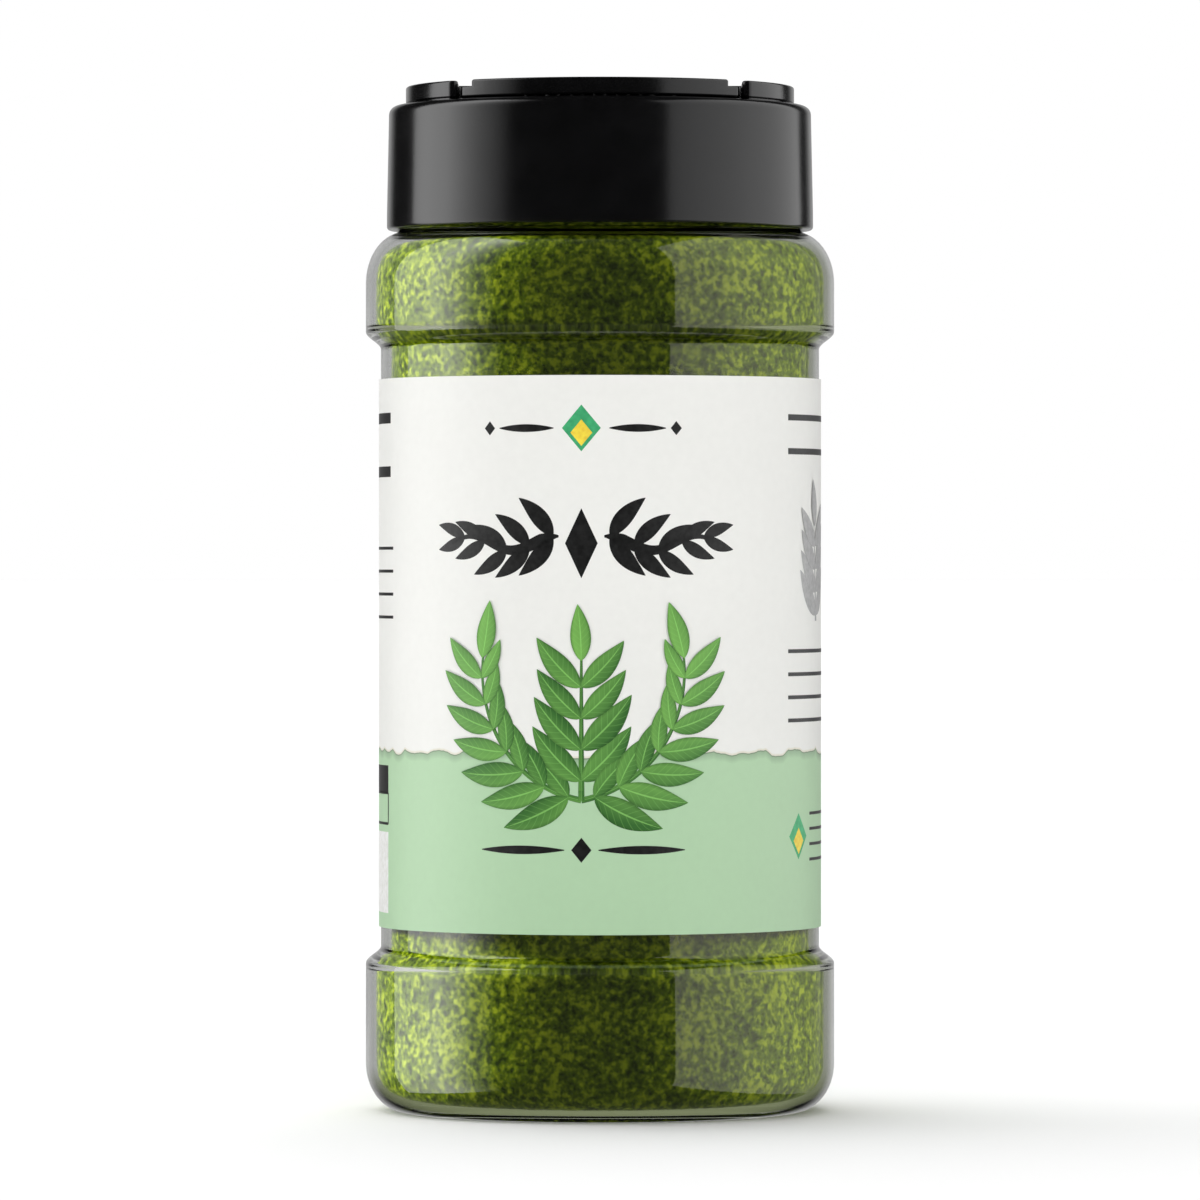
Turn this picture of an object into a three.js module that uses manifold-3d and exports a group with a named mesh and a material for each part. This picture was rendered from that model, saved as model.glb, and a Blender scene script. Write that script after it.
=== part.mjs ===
// Spice shaker jar: a clear jar full of leaf powder, a paper label and a screw cap with two flip doors.
// Millimetres, +Z up. The origin is the centre of the foot on the table, and the front faces -Y.
import * as THREE from 'three';
import { mergeVertices } from 'three/addons/utils/BufferGeometryUtils.js';
import Module from 'manifold-3d';

const wasm = await Module();
wasm.setup();

// Jar outside: radii, and heights above the table
const BULGE_R = 30.84;
const PANEL_R = 28.85;
const FOOT_INNER_R = 23.6;
const FOOT_OUTER_R = 26.0;
const PUSH_UP = 2.2;
const HEEL_TOP_Z = 6.3;
const LOWER_STEP_Z = [19.4, 21.7];
const UPPER_STEP_Z = [100.15, 102.5];
const SHOULDER_Z = 108.9;
const SHOULDER_CREST_Z = 115.25;
const SHOULDER_CENTRE_R = 25.8;

// Jar neck
const BEAD_R = 26.15;
const BEAD_TOP_Z = 116.6;
const NECK_R = 25.2;
const LIP_Z = 129.2;
const LIP_ROUND = 0.6;
const WALL = 1.3;
const NECK_WALL = 1.5;
const BASE_WALL = 1.5;

// Screw thread of a 53 mm closure, six turns to the inch
const THREAD_PITCH = 4.233;
const THREAD_HEIGHT = 1.1;
const THREAD_ROOT = 1.9;
const THREAD_CREST = 0.8;
const JAR_THREAD_Z = 120.6;
const JAR_THREAD_TURNS = 1.25;
const CAP_THREAD_TURNS = 1.0;
const THREAD_PLAY = 0.3;

// Contents and label
const POWDER_GAP = 0.4;
const POWDER_TOP_Z = 119.0;
const POWDER_HEAP = 1.2;
const LABEL_R = 29.25;
const LABEL_THICKNESS = 0.25;
const LABEL_Z = [24.3, 96.2];

// Sealing ring between lip and deck
const LINER_GAP = 0.3;
const LINER_THICKNESS = 0.8;
const LINER_R = 26.2;
const LINER_BORE_R = 22.6;

// Cap skirt, ledge and raised top
const SKIRT_R = 28.07;
const SKIRT_TOP_R = 27.8;
const SKIRT_Z = 115.9;
const SKIRT_EDGE = 0.4;
const CAP_BORE_R = 26.75;
const DECK_UNDER_Z = 130.6;
const DECK_TOP_Z = 131.9;
const DISH_R = 25.2;
const LEDGE_Z = 132.2;
const LEDGE_R = 26.6;
const GROOVE_R = 25.0;
const PLATEAU_R = 25.57;
const PLATEAU_Z = 132.5;
const TOP_Z = 134.7;
const TOP_EDGE = 0.3;

// Doors: tongues between the side wings, hinged on the bridge
const BRIDGE_HALF = 4.5;
const WING_INNER_X = 18.45;
const DOOR_HALF = 17.9;
const DOOR_TOP_HALF = 16.6;
const DOOR_REBATE = 0.9;
const DOOR_GAP = 0.3;
const DOOR_PLATE = 1.2;
const DOOR_RIM = 1.2;

// Holes in the deck and the plugs that close them
const SIFT_HOLE_R = 1.75;
const SIFT_PIN_R = 1.25;
const SIFT_PITCH_X = 6.0;
const SIFT_ROWS = [
  { y: -9, holes: 5 },
  { y: -14, holes: 4 },
  { y: -19, holes: 3 },
];
const POUR_NEAR_Y = 8.3;
const POUR_HALF_X = 15.0;
const POUR_R = 20.8;
const POUR_CORNER = 2.0;
const PLUG_DEPTH = 0.4;
const PLUG_CLEARANCE = 0.5;
const PLUG_WALL = 1.0;

const ROUND_SEGMENTS = 48;
const HOLE_SEGMENTS = 14;
const THREAD_STEPS_PER_TURN = 32;
const HALF_TURN = Math.PI;
const FULL_TURN = 2 * Math.PI;

const clearPlastic = new THREE.MeshStandardMaterial({
  name: 'clear_plastic', color: 0xdfe4dc, roughness: 0.06, metalness: 0, transparent: true, opacity: 0.35,
});
const leafPowder = new THREE.MeshStandardMaterial({
  name: 'leaf_powder', color: 0x46590f, roughness: 0.95, metalness: 0,
});
const labelPaper = new THREE.MeshStandardMaterial({
  name: 'label_paper', color: 0xeceade, roughness: 0.55, metalness: 0,
});
const blackPlastic = new THREE.MeshStandardMaterial({
  name: 'black_plastic', color: 0x111111, roughness: 0.3, metalness: 0,
});
const linerFoam = new THREE.MeshStandardMaterial({
  name: 'liner_foam', color: 0xe9e7e1, roughness: 0.8, metalness: 0,
});

// A closed mesh, with its shared corners merged, as a solid that can be joined and cut
function toSolid(geometry) {
  const bare = geometry.clone();
  bare.deleteAttribute('normal');
  bare.deleteAttribute('uv');
  const merged = mergeVertices(bare);
  const corners = Array.from(merged.index.array);
  const triangles = [];
  for (let i = 0; i < corners.length; i += 3) {
    const [a, b, c] = corners.slice(i, i + 3);
    if (a !== b && b !== c && c !== a) triangles.push(a, b, c);
  }
  return new wasm.Manifold(new wasm.Mesh({
    numProp: 3,
    vertProperties: new Float32Array(merged.attributes.position.array),
    triVerts: new Uint32Array(triangles),
  }));
}

function toMesh(name, solid, material) {
  const { vertProperties, triVerts } = solid.getMesh();
  const geometry = new THREE.BufferGeometry();
  geometry.setAttribute('position', new THREE.BufferAttribute(vertProperties, 3));
  geometry.setIndex(new THREE.BufferAttribute(triVerts, 1));
  geometry.computeVertexNormals();
  const mesh = new THREE.Mesh(geometry, material);
  mesh.name = name;
  return mesh;
}

// A profile of [radius, height] points, counter-clockwise round the material, turned about the Z axis
function revolve(profile) {
  const points = profile.map(([r, z]) => new THREE.Vector2(r, z));
  const geometry = new THREE.LatheGeometry(points, ROUND_SEGMENTS);
  geometry.rotateX(HALF_TURN / 2);
  return toSolid(geometry);
}

// A flat outline raised from one height to another, with an optional chamfer round both ends
function raise(shape, fromZ, toZ, chamfer = 0) {
  const geometry = new THREE.ExtrudeGeometry(shape, {
    depth: toZ - fromZ - 2 * chamfer,
    curveSegments: 12,
    bevelEnabled: chamfer > 0,
    bevelThickness: chamfer,
    bevelSize: chamfer,
    bevelOffset: -chamfer,
    bevelSegments: 1,
  });
  geometry.translate(0, 0, fromZ + chamfer);
  return toSolid(geometry);
}

function disc(radius, fromZ, toZ, segments, x = 0, y = 0) {
  const geometry = new THREE.CylinderGeometry(radius, radius, toZ - fromZ, segments);
  geometry.rotateX(HALF_TURN / 2);
  geometry.translate(x, y, (fromZ + toZ) / 2);
  return toSolid(geometry);
}

// Points of an ellipse about (r, z), from one angle to another, in radians
function ellipse([r, z], halfR, halfZ, from, to, steps) {
  return Array.from({ length: steps + 1 }, (_, i) => {
    const angle = THREE.MathUtils.lerp(from, to, i / steps);
    return [r + halfR * Math.cos(angle), z + halfZ * Math.sin(angle)];
  });
}

// Half a cosine wave from one radius to another between two heights
function waist([fromZ, toZ], fromR, toR, steps) {
  return Array.from({ length: steps + 1 }, (_, i) => {
    const t = i / steps;
    const blend = (1 - Math.cos(HALF_TURN * t)) / 2;
    return [THREE.MathUtils.lerp(fromR, toR, blend), THREE.MathUtils.lerp(fromZ, toZ, t)];
  });
}

// Jar side from foot to shoulder crest, moved inwards by an inset and up from the table by a lift
function jarSide(inset, lift, steps) {
  const bulge = BULGE_R - inset;
  const panel = PANEL_R - inset;
  const heel = ellipse(
    [FOOT_OUTER_R, HEEL_TOP_Z], bulge - FOOT_OUTER_R, HEEL_TOP_Z - lift, -HALF_TURN / 2, 0, steps,
  );
  const shoulder = ellipse(
    [SHOULDER_CENTRE_R, SHOULDER_Z], bulge - SHOULDER_CENTRE_R, SHOULDER_CREST_Z - SHOULDER_Z - inset,
    0, HALF_TURN / 2, steps,
  );
  return [
    ...heel,
    ...waist(LOWER_STEP_Z, bulge, panel, steps),
    ...waist(UPPER_STEP_Z, panel, bulge, steps),
    ...shoulder,
  ];
}

// The part of a profile that stays outside a given radius, once it has gone up past a given height
function untilRadius(profile, radius, aboveZ) {
  return profile.filter(([r, z]) => z < aboveZ || r > radius);
}

// A helical ridge: a straight bar of trapezium section, bent round the Z axis and sunk into its wall.
// side is 1 for a ridge that stands out from the wall and -1 for one that stands in from it.
function screwThread(wallR, side, startZ, turns) {
  const sink = 0.5;
  const rampTurns = 0.08;
  const hiddenEnd = -0.15;
  const section = new THREE.Shape([
    new THREE.Vector2(-THREAD_ROOT / 2, -sink),
    new THREE.Vector2(THREAD_ROOT / 2, -sink),
    new THREE.Vector2(THREAD_CREST / 2, THREAD_HEIGHT),
    new THREE.Vector2(-THREAD_CREST / 2, THREAD_HEIGHT),
  ]);
  const steps = Math.round(turns * THREAD_STEPS_PER_TURN);
  const geometry = new THREE.ExtrudeGeometry(section, { depth: 1, steps, bevelEnabled: false });
  const place = geometry.attributes.position;
  for (let i = 0; i < place.count; i += 1) {
    const along = place.getZ(i) * turns;
    const ramp = Math.min(1, along / rampTurns, (turns - along) / rampTurns);
    const isCrest = place.getY(i) > 0;
    const out = isCrest ? THREE.MathUtils.lerp(hiddenEnd, THREAD_HEIGHT, ramp) : -sink;
    const radius = wallR + side * out;
    const angle = along * FULL_TURN;
    const height = startZ + side * place.getX(i) + along * THREAD_PITCH;
    place.setXYZ(i, radius * Math.cos(angle), radius * Math.sin(angle), height);
  }
  return toSolid(geometry);
}

function makeJar() {
  const neckBore = NECK_R - NECK_WALL;
  const innerSide = untilRadius(jarSide(WALL, BASE_WALL, 3), neckBore, SHOULDER_Z).reverse();
  const body = revolve([
    [0, PUSH_UP],
    ...ellipse([0, 0], FOOT_INNER_R, PUSH_UP, HALF_TURN / 2, 0, 4).slice(1),
    ...untilRadius(jarSide(0, 0, 5), BEAD_R, SHOULDER_Z),
    [BEAD_R, SHOULDER_CREST_Z],
    [BEAD_R, BEAD_TOP_Z],
    [NECK_R, BEAD_TOP_Z + 0.6],
    [NECK_R, LIP_Z - LIP_ROUND],
    [NECK_R - LIP_ROUND, LIP_Z],
    [neckBore, LIP_Z],
    [neckBore, SHOULDER_CREST_Z - WALL / 2],
    ...innerSide,
    ...ellipse([0, BASE_WALL], FOOT_OUTER_R - WALL, PUSH_UP, 0, HALF_TURN / 2, 3).slice(1, -1),
    [0, BASE_WALL + PUSH_UP],
  ]);
  return body.add(screwThread(NECK_R, 1, JAR_THREAD_Z, JAR_THREAD_TURNS));
}

function makePowder() {
  const inset = WALL + POWDER_GAP;
  const lift = BASE_WALL + POWDER_GAP;
  const boreR = NECK_R - NECK_WALL - POWDER_GAP;
  return revolve([
    [0, lift + PUSH_UP],
    ...ellipse([0, lift], FOOT_OUTER_R - WALL, PUSH_UP, HALF_TURN / 2, 0, 3).slice(1, -1),
    ...untilRadius(jarSide(inset, lift, 3), boreR, SHOULDER_Z),
    [boreR, SHOULDER_CREST_Z - inset],
    [boreR, POWDER_TOP_Z],
    [boreR / 2, POWDER_TOP_Z + POWDER_HEAP * 0.7],
    [0, POWDER_TOP_Z + POWDER_HEAP],
  ]);
}

// A ring of rectangular section
function ring(innerR, outerR, fromZ, toZ) {
  return revolve([
    [innerR, fromZ],
    [outerR, fromZ],
    [outerR, toZ],
    [innerR, toZ],
    [innerR, fromZ],
  ]);
}

// Square-sided cut for one door, open at the front and above, with a shallow dish in the deck below it
function doorRecess() {
  const past = PLATEAU_R + 5;
  const above = TOP_Z + 5;
  const span = new THREE.Shape([
    new THREE.Vector2(-WING_INNER_X, BRIDGE_HALF),
    new THREE.Vector2(WING_INNER_X, BRIDGE_HALF),
    new THREE.Vector2(WING_INNER_X, past),
    new THREE.Vector2(-WING_INNER_X, past),
  ]);
  const midGroove = (LEDGE_Z + PLATEAU_Z) / 2;
  const dish = raise(span, DECK_TOP_Z, above).intersect(disc(DISH_R, DECK_TOP_Z - 1, above + 1, ROUND_SEGMENTS));
  return raise(span, midGroove, above).add(dish);
}

function siftPlaces() {
  return SIFT_ROWS.flatMap(({ y, holes }) => Array.from(
    { length: holes },
    (_, i) => [(i - (holes - 1) / 2) * SIFT_PITCH_X, y],
  ));
}

// The pour opening's outline, a chord and an arc with rounded corners, drawn smaller by an inset
function pourOutline(inset) {
  const half = POUR_HALF_X - inset;
  const near = POUR_NEAR_Y + inset;
  const radius = POUR_R - inset;
  const corner = POUR_CORNER - inset / 2;
  const start = Math.acos(half / radius);
  const outline = new THREE.Shape();
  outline.moveTo(-half + corner, near);
  outline.lineTo(half - corner, near);
  outline.absarc(half - corner, near + corner, corner, -HALF_TURN / 2, 0, false);
  outline.lineTo(half, radius * Math.sin(start));
  outline.absarc(0, 0, radius, start, HALF_TURN - start, false);
  outline.lineTo(-half, near + corner);
  outline.absarc(-half + corner, near + corner, corner, HALF_TURN, 1.5 * HALF_TURN, false);
  return outline;
}

function makeCap() {
  const round = SKIRT_TOP_R - LEDGE_R;
  const shell = revolve([
    [0, DECK_UNDER_Z],
    [CAP_BORE_R, DECK_UNDER_Z],
    [CAP_BORE_R, SKIRT_Z + 2 * SKIRT_EDGE],
    [CAP_BORE_R + SKIRT_EDGE, SKIRT_Z],
    [SKIRT_R - SKIRT_EDGE, SKIRT_Z],
    [SKIRT_R, SKIRT_Z + SKIRT_EDGE],
    ...ellipse([LEDGE_R, LEDGE_Z - round], round, round, 0, HALF_TURN / 2, 4),
    [GROOVE_R, LEDGE_Z],
    [GROOVE_R, PLATEAU_Z],
    [PLATEAU_R, PLATEAU_Z],
    [PLATEAU_R, TOP_Z - TOP_EDGE],
    [PLATEAU_R - TOP_EDGE, TOP_Z],
    [0, TOP_Z],
  ]);
  const threadStartZ = JAR_THREAD_Z - (THREAD_ROOT + THREAD_CREST) / 2 - THREAD_PLAY;
  let cap = shell.add(screwThread(CAP_BORE_R, -1, threadStartZ, CAP_THREAD_TURNS));
  cap = cap.subtract(doorRecess()).subtract(doorRecess().rotate([0, 0, 180]));
  for (const [x, y] of siftPlaces()) {
    cap = cap.subtract(disc(SIFT_HOLE_R, DECK_UNDER_Z - 1, DECK_TOP_Z + 1, HOLE_SEGMENTS, x, y));
  }
  return cap.subtract(raise(pourOutline(0), DECK_UNDER_Z - 1, DECK_TOP_Z + 1));
}

// Door outline: straight sides, a straight hinge edge and an arc in line with the raised top
function doorOutline(half, nearY, radius) {
  const start = Math.acos(half / radius);
  const outline = new THREE.Shape();
  outline.moveTo(-half, nearY);
  outline.lineTo(half, nearY);
  outline.absarc(0, 0, radius, start, HALF_TURN - start, false);
  return outline;
}

// A hollow door with a rim and a stepped edge, on the +Y side
function makeDoor() {
  const nearY = BRIDGE_HALF + DOOR_GAP;
  const stepZ = TOP_Z - DOOR_REBATE;
  const tray = raise(doorOutline(DOOR_HALF, nearY, PLATEAU_R), PLATEAU_Z, stepZ);
  const top = raise(doorOutline(DOOR_TOP_HALF, nearY, PLATEAU_R), stepZ - 2 * TOP_EDGE, TOP_Z, TOP_EDGE);
  const hollow = doorOutline(DOOR_HALF - DOOR_RIM, nearY + DOOR_RIM, PLATEAU_R - DOOR_RIM);
  return tray.add(top).subtract(raise(hollow, PLATEAU_Z - 1, TOP_Z - DOOR_PLATE));
}

function makeFrontDoor() {
  const plateZ = TOP_Z - DOOR_PLATE / 2;
  let door = makeDoor().rotate([0, 0, 180]);
  for (const [x, y] of siftPlaces()) {
    door = door.add(disc(SIFT_PIN_R, DECK_TOP_Z - PLUG_DEPTH, plateZ, HOLE_SEGMENTS, x, y));
  }
  return door;
}

function makeRearDoor() {
  const plateZ = TOP_Z - DOOR_PLATE / 2;
  const plug = raise(pourOutline(PLUG_CLEARANCE), DECK_TOP_Z - PLUG_DEPTH, plateZ);
  const core = raise(pourOutline(PLUG_CLEARANCE + PLUG_WALL), DECK_TOP_Z - 1, TOP_Z - DOOR_PLATE);
  return makeDoor().add(plug.subtract(core));
}

const linerZ = LIP_Z + LINER_GAP;

const spiceJar = new THREE.Group();
spiceJar.add(
  toMesh('jar_body', makeJar(), clearPlastic),
  toMesh('powder_fill', makePowder(), leafPowder),
  toMesh('label_wrap', ring(LABEL_R - LABEL_THICKNESS, LABEL_R, ...LABEL_Z), labelPaper),
  toMesh('liner_ring', ring(LINER_BORE_R, LINER_R, linerZ, linerZ + LINER_THICKNESS), linerFoam),
  toMesh('cap_shell', makeCap(), blackPlastic),
  toMesh('door_front', makeFrontDoor(), blackPlastic),
  toMesh('door_rear', makeRearDoor(), blackPlastic),
);

export default spiceJar;
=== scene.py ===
# Spice shaker jar: a clear jar of leaf powder with a paper label and a black screw cap with two flip doors.
import math

import bpy
import numpy as np
from bpy.props import FloatProperty, FloatVectorProperty, IntProperty, PointerProperty
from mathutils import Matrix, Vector


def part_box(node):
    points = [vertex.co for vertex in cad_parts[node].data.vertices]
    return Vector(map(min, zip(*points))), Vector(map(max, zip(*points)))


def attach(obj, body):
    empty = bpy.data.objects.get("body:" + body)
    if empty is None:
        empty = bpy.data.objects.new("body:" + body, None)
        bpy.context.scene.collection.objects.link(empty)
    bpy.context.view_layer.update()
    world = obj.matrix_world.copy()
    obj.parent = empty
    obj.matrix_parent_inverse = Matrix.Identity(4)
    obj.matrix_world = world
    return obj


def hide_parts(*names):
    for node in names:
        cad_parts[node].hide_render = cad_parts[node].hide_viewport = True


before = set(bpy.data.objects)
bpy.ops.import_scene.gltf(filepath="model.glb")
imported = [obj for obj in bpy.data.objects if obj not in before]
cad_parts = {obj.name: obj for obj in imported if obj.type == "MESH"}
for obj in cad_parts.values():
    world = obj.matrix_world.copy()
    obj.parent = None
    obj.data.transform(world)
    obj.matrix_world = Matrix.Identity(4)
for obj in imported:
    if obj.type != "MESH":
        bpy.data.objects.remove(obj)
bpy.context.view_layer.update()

bl_info = {
    "name": "Spice Shaker Jar",
    "version": (1, 0, 0),
    "blender": (4, 5, 0),
    "location": "View3D > Sidebar > Spice Jar",
    "description": "Makes a clear spice jar with its powder, label and flip-top cap",
    "category": "Add Mesh",
}

MM = 0.001
TURN = 2 * math.pi
RIGHT_ANGLE = math.pi / 2
_, JAR_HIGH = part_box("jar_body")
LABEL_LOW, LABEL_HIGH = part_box("label_wrap")
CAP_LOW, CAP_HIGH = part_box("cap_shell")
LINER_LOW, LINER_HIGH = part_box("liner_ring")

# Jar outside, foot to shoulder
BULGE_R = JAR_HIGH.x
PANEL_R = 28.85 * MM
FOOT_INNER_R = 23.6 * MM
FOOT_OUTER_R = 26.0 * MM
PUSH_UP = 2.2 * MM
HEEL_TOP_Z = 6.3 * MM
LOWER_STEP_Z = (19.4 * MM, 21.7 * MM)
UPPER_STEP_Z = (100.15 * MM, 102.5 * MM)
INNER_EASE = 0.9 * MM
INNER_LAG = 0.2 * MM
SHOULDER_Z = 108.9 * MM
SHOULDER_CREST_Z = 115.6 * MM
SHOULDER_CENTRE_R = 25.8 * MM

# Jar neck and its thread
BEAD_R = 26.15 * MM
BEAD_TOP_Z = 116.6 * MM
BEAD_ROUND = 0.4 * MM
NECK_R = 25.2 * MM
LIP_Z = JAR_HIGH.z
LIP_ROUND = 0.6 * MM
NECK_FOOT_Z = 117.2 * MM
NECK_WALL = 1.5 * MM
BASE_WALL = 1.5 * MM
THREAD_PITCH = 4.233 * MM
THREAD_HEIGHT = 1.1 * MM
THREAD_ROOT = 1.9 * MM
THREAD_CREST = 0.8 * MM
THREAD_FADE = 0.08
JAR_THREAD_Z = 120.6 * MM
JAR_THREAD_TURNS = 1.25
CAP_THREAD_Z = 118.95 * MM
CAP_THREAD_TURNS = 1.0

# Powder
POWDER_TOP_Z = 119.0 * MM
POWDER_HEAP = 1.2 * MM
POWDER_TOUCH = 0.05 * MM
POWDER_CALM_R = 8.0 * MM

# Liner
LINER_BORE_R = 22.6 * MM
LINER_EDGE = 0.2 * MM

# Label and its print
LABEL_R = 29.12 * MM
PAPER = 0.12 * MM
LABEL_LAP = math.radians(9)
LABEL_COLUMNS = 420
LABEL_ROWS = 40
RIPPLE = 0.003 * MM
INK = 0.007 * MM
PRINT_MIDDLE = -2.4 * MM
PRINT_TOP_Z = 89.4 * MM
PRINT_FOOT_Z = 35.2 * MM
FLOURISH_Z = 74.6 * MM
FLOURISH_HALF = 18.4 * MM
FLOURISH_HEIGHT = 14.5 * MM
WREATH_ROOT_Z = 41.6 * MM
WREATH_REACH = 27.0 * MM
RIGHT_PANEL_X = 29.0 * MM
LEFT_PANEL_X = -55.5 * MM
BADGE = (5.0 * MM, 6.0 * MM)
BADGE_HEART = (2.8 * MM, 3.4 * MM)
SIDE_BADGE_Z = 36.5 * MM
SPRIG_LENGTH = 13.5 * MM
LEAF_POINTS = 22

# Cap
SKIRT_R = 28.07 * MM
SKIRT_TOP_R = 27.8 * MM
SKIRT_Z = CAP_LOW.z
CAP_BORE_R = 26.75 * MM
DECK_UNDER_Z = 130.6 * MM
DECK_TOP_Z = 131.9 * MM
LEDGE_Z = 132.2 * MM
LEDGE_R = 26.6 * MM
DISH_R = 25.2 * MM
GROOVE_R = 25.0 * MM
PLATEAU_R = 25.57 * MM
PLATEAU_Z = 132.5 * MM
TOP_Z = CAP_HIGH.z
BRIDGE_HALF = 4.5 * MM
WING_INNER_X = 18.45 * MM
DOOR_HALF = 17.9 * MM
DOOR_TOP_HALF = 16.6 * MM
DOOR_NEAR_Y = 4.8 * MM
DOOR_STEP_Z = 133.8 * MM
DOOR_PLATE = 1.2 * MM
DOOR_RIM = 1.2 * MM
SIFT_HOLE_R = 1.75 * MM
SIFT_PIN_R = 1.25 * MM
SIFT_PITCH_X = 6.0 * MM
SIFT_ROWS = ((-9 * MM, 5), (-14 * MM, 4), (-19 * MM, 3))
POUR_NEAR_Y = 8.3 * MM
POUR_HALF_X = 15.0 * MM
POUR_R = 20.8 * MM
POUR_CORNER = 2.0 * MM
PLUG_END_Z = 131.5 * MM
PLUG_CLEARANCE = 0.5 * MM
PLUG_WALL = 1.0 * MM
STEP_EDGE = 0.25 * MM
ARC_STEPS = 60

# Divisions round the jar, cap and liner
FINE = 288

# Camera
CAMERA_DISTANCE = 1.107
CAMERA_HEIGHT = 0.0722
CAMERA_LENS = 252.0
CAMERA_SHIFT = -0.0317

# Suns: azimuth, elevation and spread in degrees
KEY_SUN = (-150, 54, 85)
LEFT_FILL_SUN = (-22, 20, 90)
RIGHT_FILL_SUN = (40, 20, 90)
POWDER_LEFT_SUN = (-108, 20, 20)
POWDER_RIGHT_SUN = (104, 20, 24)
POWDER_FRONT_SUN = (0, 40, 80)

# Softboxes: azimuth and width, height and distance, and shares of their radiance from front to back
LEFT_BOX = (-80, 1.16)
RIGHT_BOX = (87, 1.70)
BOX_Z = (-0.42, 1.44)
BOX_DISTANCE = 0.7
LEFT_FADE = ((0.0, 0.0), (0.12, 0.0), (0.36, 0.4), (0.6, 1.0), (0.8, 0.9), (1.0, 0.6))
RIGHT_FADE = ((0.0, 0.45), (0.5, 0.85), (1.0, 0.75))
JAR_LEFT_FADE = (
    (0.0, 0.0), (0.18, 0.0), (0.32, 0.22), (0.45, 0.73),
    (0.56, 1.0), (0.66, 0.78), (0.76, 0.62), (1.0, 0.36),
)
JAR_RIGHT_FADE = ((0.0, 0.9), (0.4, 1.0), (0.6, 0.7), (0.77, 0.35), (1.0, 0.2))
WARM_TINT = (1.0, 1.0, 0.82)


# Numpy shapes

def arc(centre, half, start, end, steps):
    """Points of an ellipse: the centre plus the half sizes times the cosine and sine of an angle that runs
    from start to end."""
    angle = np.linspace(start, end, steps + 1)
    x = centre[0] + half[0] * np.cos(angle)
    y = centre[1] + half[1] * np.sin(angle)
    return np.column_stack([x, y])


def line(start, end, steps=1):
    """Evenly spaced points from start to end."""
    return np.linspace(start, end, steps + 1)


def along(path, count):
    """The same path with count points, evenly spaced by its length."""
    path = np.asarray(path, float)
    step = np.hypot(*np.diff(path, axis=0).T)
    length = np.concatenate([[0], np.cumsum(step)])
    places = np.linspace(0, length[-1], count)
    return np.column_stack([np.interp(places, length, path[:, k]) for k in range(2)])


def waist(heights, from_r, to_r, steps):
    """A soft step: the radius follows half a cosine wave from one value to the other between two heights."""
    way = np.linspace(0, 1, steps + 1)
    blend = (1 - np.cos(math.pi * way)) / 2
    radius = from_r + (to_r - from_r) * blend
    return np.column_stack([radius, heights[0] + (heights[1] - heights[0]) * way])


def jar_side(inset, lift, steps=16):
    """The jar's side from heel to shoulder crest: two quarter ellipses, and a waist at each end of the label
    panel. Inside the jar each waist starts a little further from the panel and ends further into the bulge,
    so it is softer."""
    bulge = BULGE_R - inset
    panel = PANEL_R - inset
    heel_half = (bulge - FOOT_OUTER_R, HEEL_TOP_Z - lift)
    shoulder_half = (bulge - SHOULDER_CENTRE_R, SHOULDER_CREST_Z - SHOULDER_Z - inset)
    ease, lag = (INNER_EASE, INNER_LAG) if inset else (0, 0)
    lower = (LOWER_STEP_Z[0] - ease, LOWER_STEP_Z[1] - lag)
    upper = (UPPER_STEP_Z[0] + lag, UPPER_STEP_Z[1] + ease)
    return np.vstack([
        arc((FOOT_OUTER_R, HEEL_TOP_Z), heel_half, -RIGHT_ANGLE, 0, steps),
        waist(lower, bulge, panel, steps),
        waist(upper, panel, bulge, steps),
        arc((SHOULDER_CENTRE_R, SHOULDER_Z), shoulder_half, 0, RIGHT_ANGLE, steps),
    ])


def until_radius(profile, radius, above_z):
    """The part of a profile that stays outside a radius once it has gone up past a height."""
    return profile[(profile[:, 1] < above_z) | (profile[:, 0] > radius)]


def grid_faces(rows, columns, wrap_rows=False, wrap_columns=True):
    """Quads between the neighbours of a grid of points, whose last row or column may meet its first."""
    row = np.arange(rows if wrap_rows else rows - 1)
    column = np.arange(columns if wrap_columns else columns - 1)
    row, column = np.meshgrid(row, column, indexing="ij")
    next_row = (row + 1) % rows
    next_column = (column + 1) % columns
    corners = [
        row * columns + column,
        row * columns + next_column,
        next_row * columns + next_column,
        next_row * columns + column,
    ]
    return np.stack(corners, -1).reshape(-1, 4).tolist()


def turned(radius, height, columns, centre=(0, 0)):
    """A profile turned about an upright axis: x = r cos a, y = r sin a. The radius may differ from column to
    column. A profile that starts and ends on the axis gets a pole at each end, and any other one closes on
    itself."""
    height = np.asarray(height, float)
    radius = np.broadcast_to(np.reshape(radius, (len(height), -1)), (len(height), columns))
    angle = np.arange(columns) * TURN / columns
    x = centre[0] + radius * np.cos(angle)
    y = centre[1] + radius * np.sin(angle)
    points = np.stack([x, y, np.broadcast_to(height[:, None], x.shape)], -1)
    if radius[0].max() > 1e-9:
        return points.reshape(-1, 3), grid_faces(len(height), columns, wrap_rows=True)
    rings = points[1:-1]
    poles = points[[0, -1], 0]
    faces = grid_faces(len(rings), columns)
    first = np.arange(columns)
    after = (first + 1) % columns
    top = (len(rings) - 1) * columns
    low_pole = np.full(columns, rings.shape[0] * columns)
    faces += np.stack([low_pole, after, first], -1).tolist()
    faces += np.stack([top + first, top + after, low_pole + 1], -1).tolist()
    return np.vstack([rings.reshape(-1, 3), poles]), faces


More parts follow.
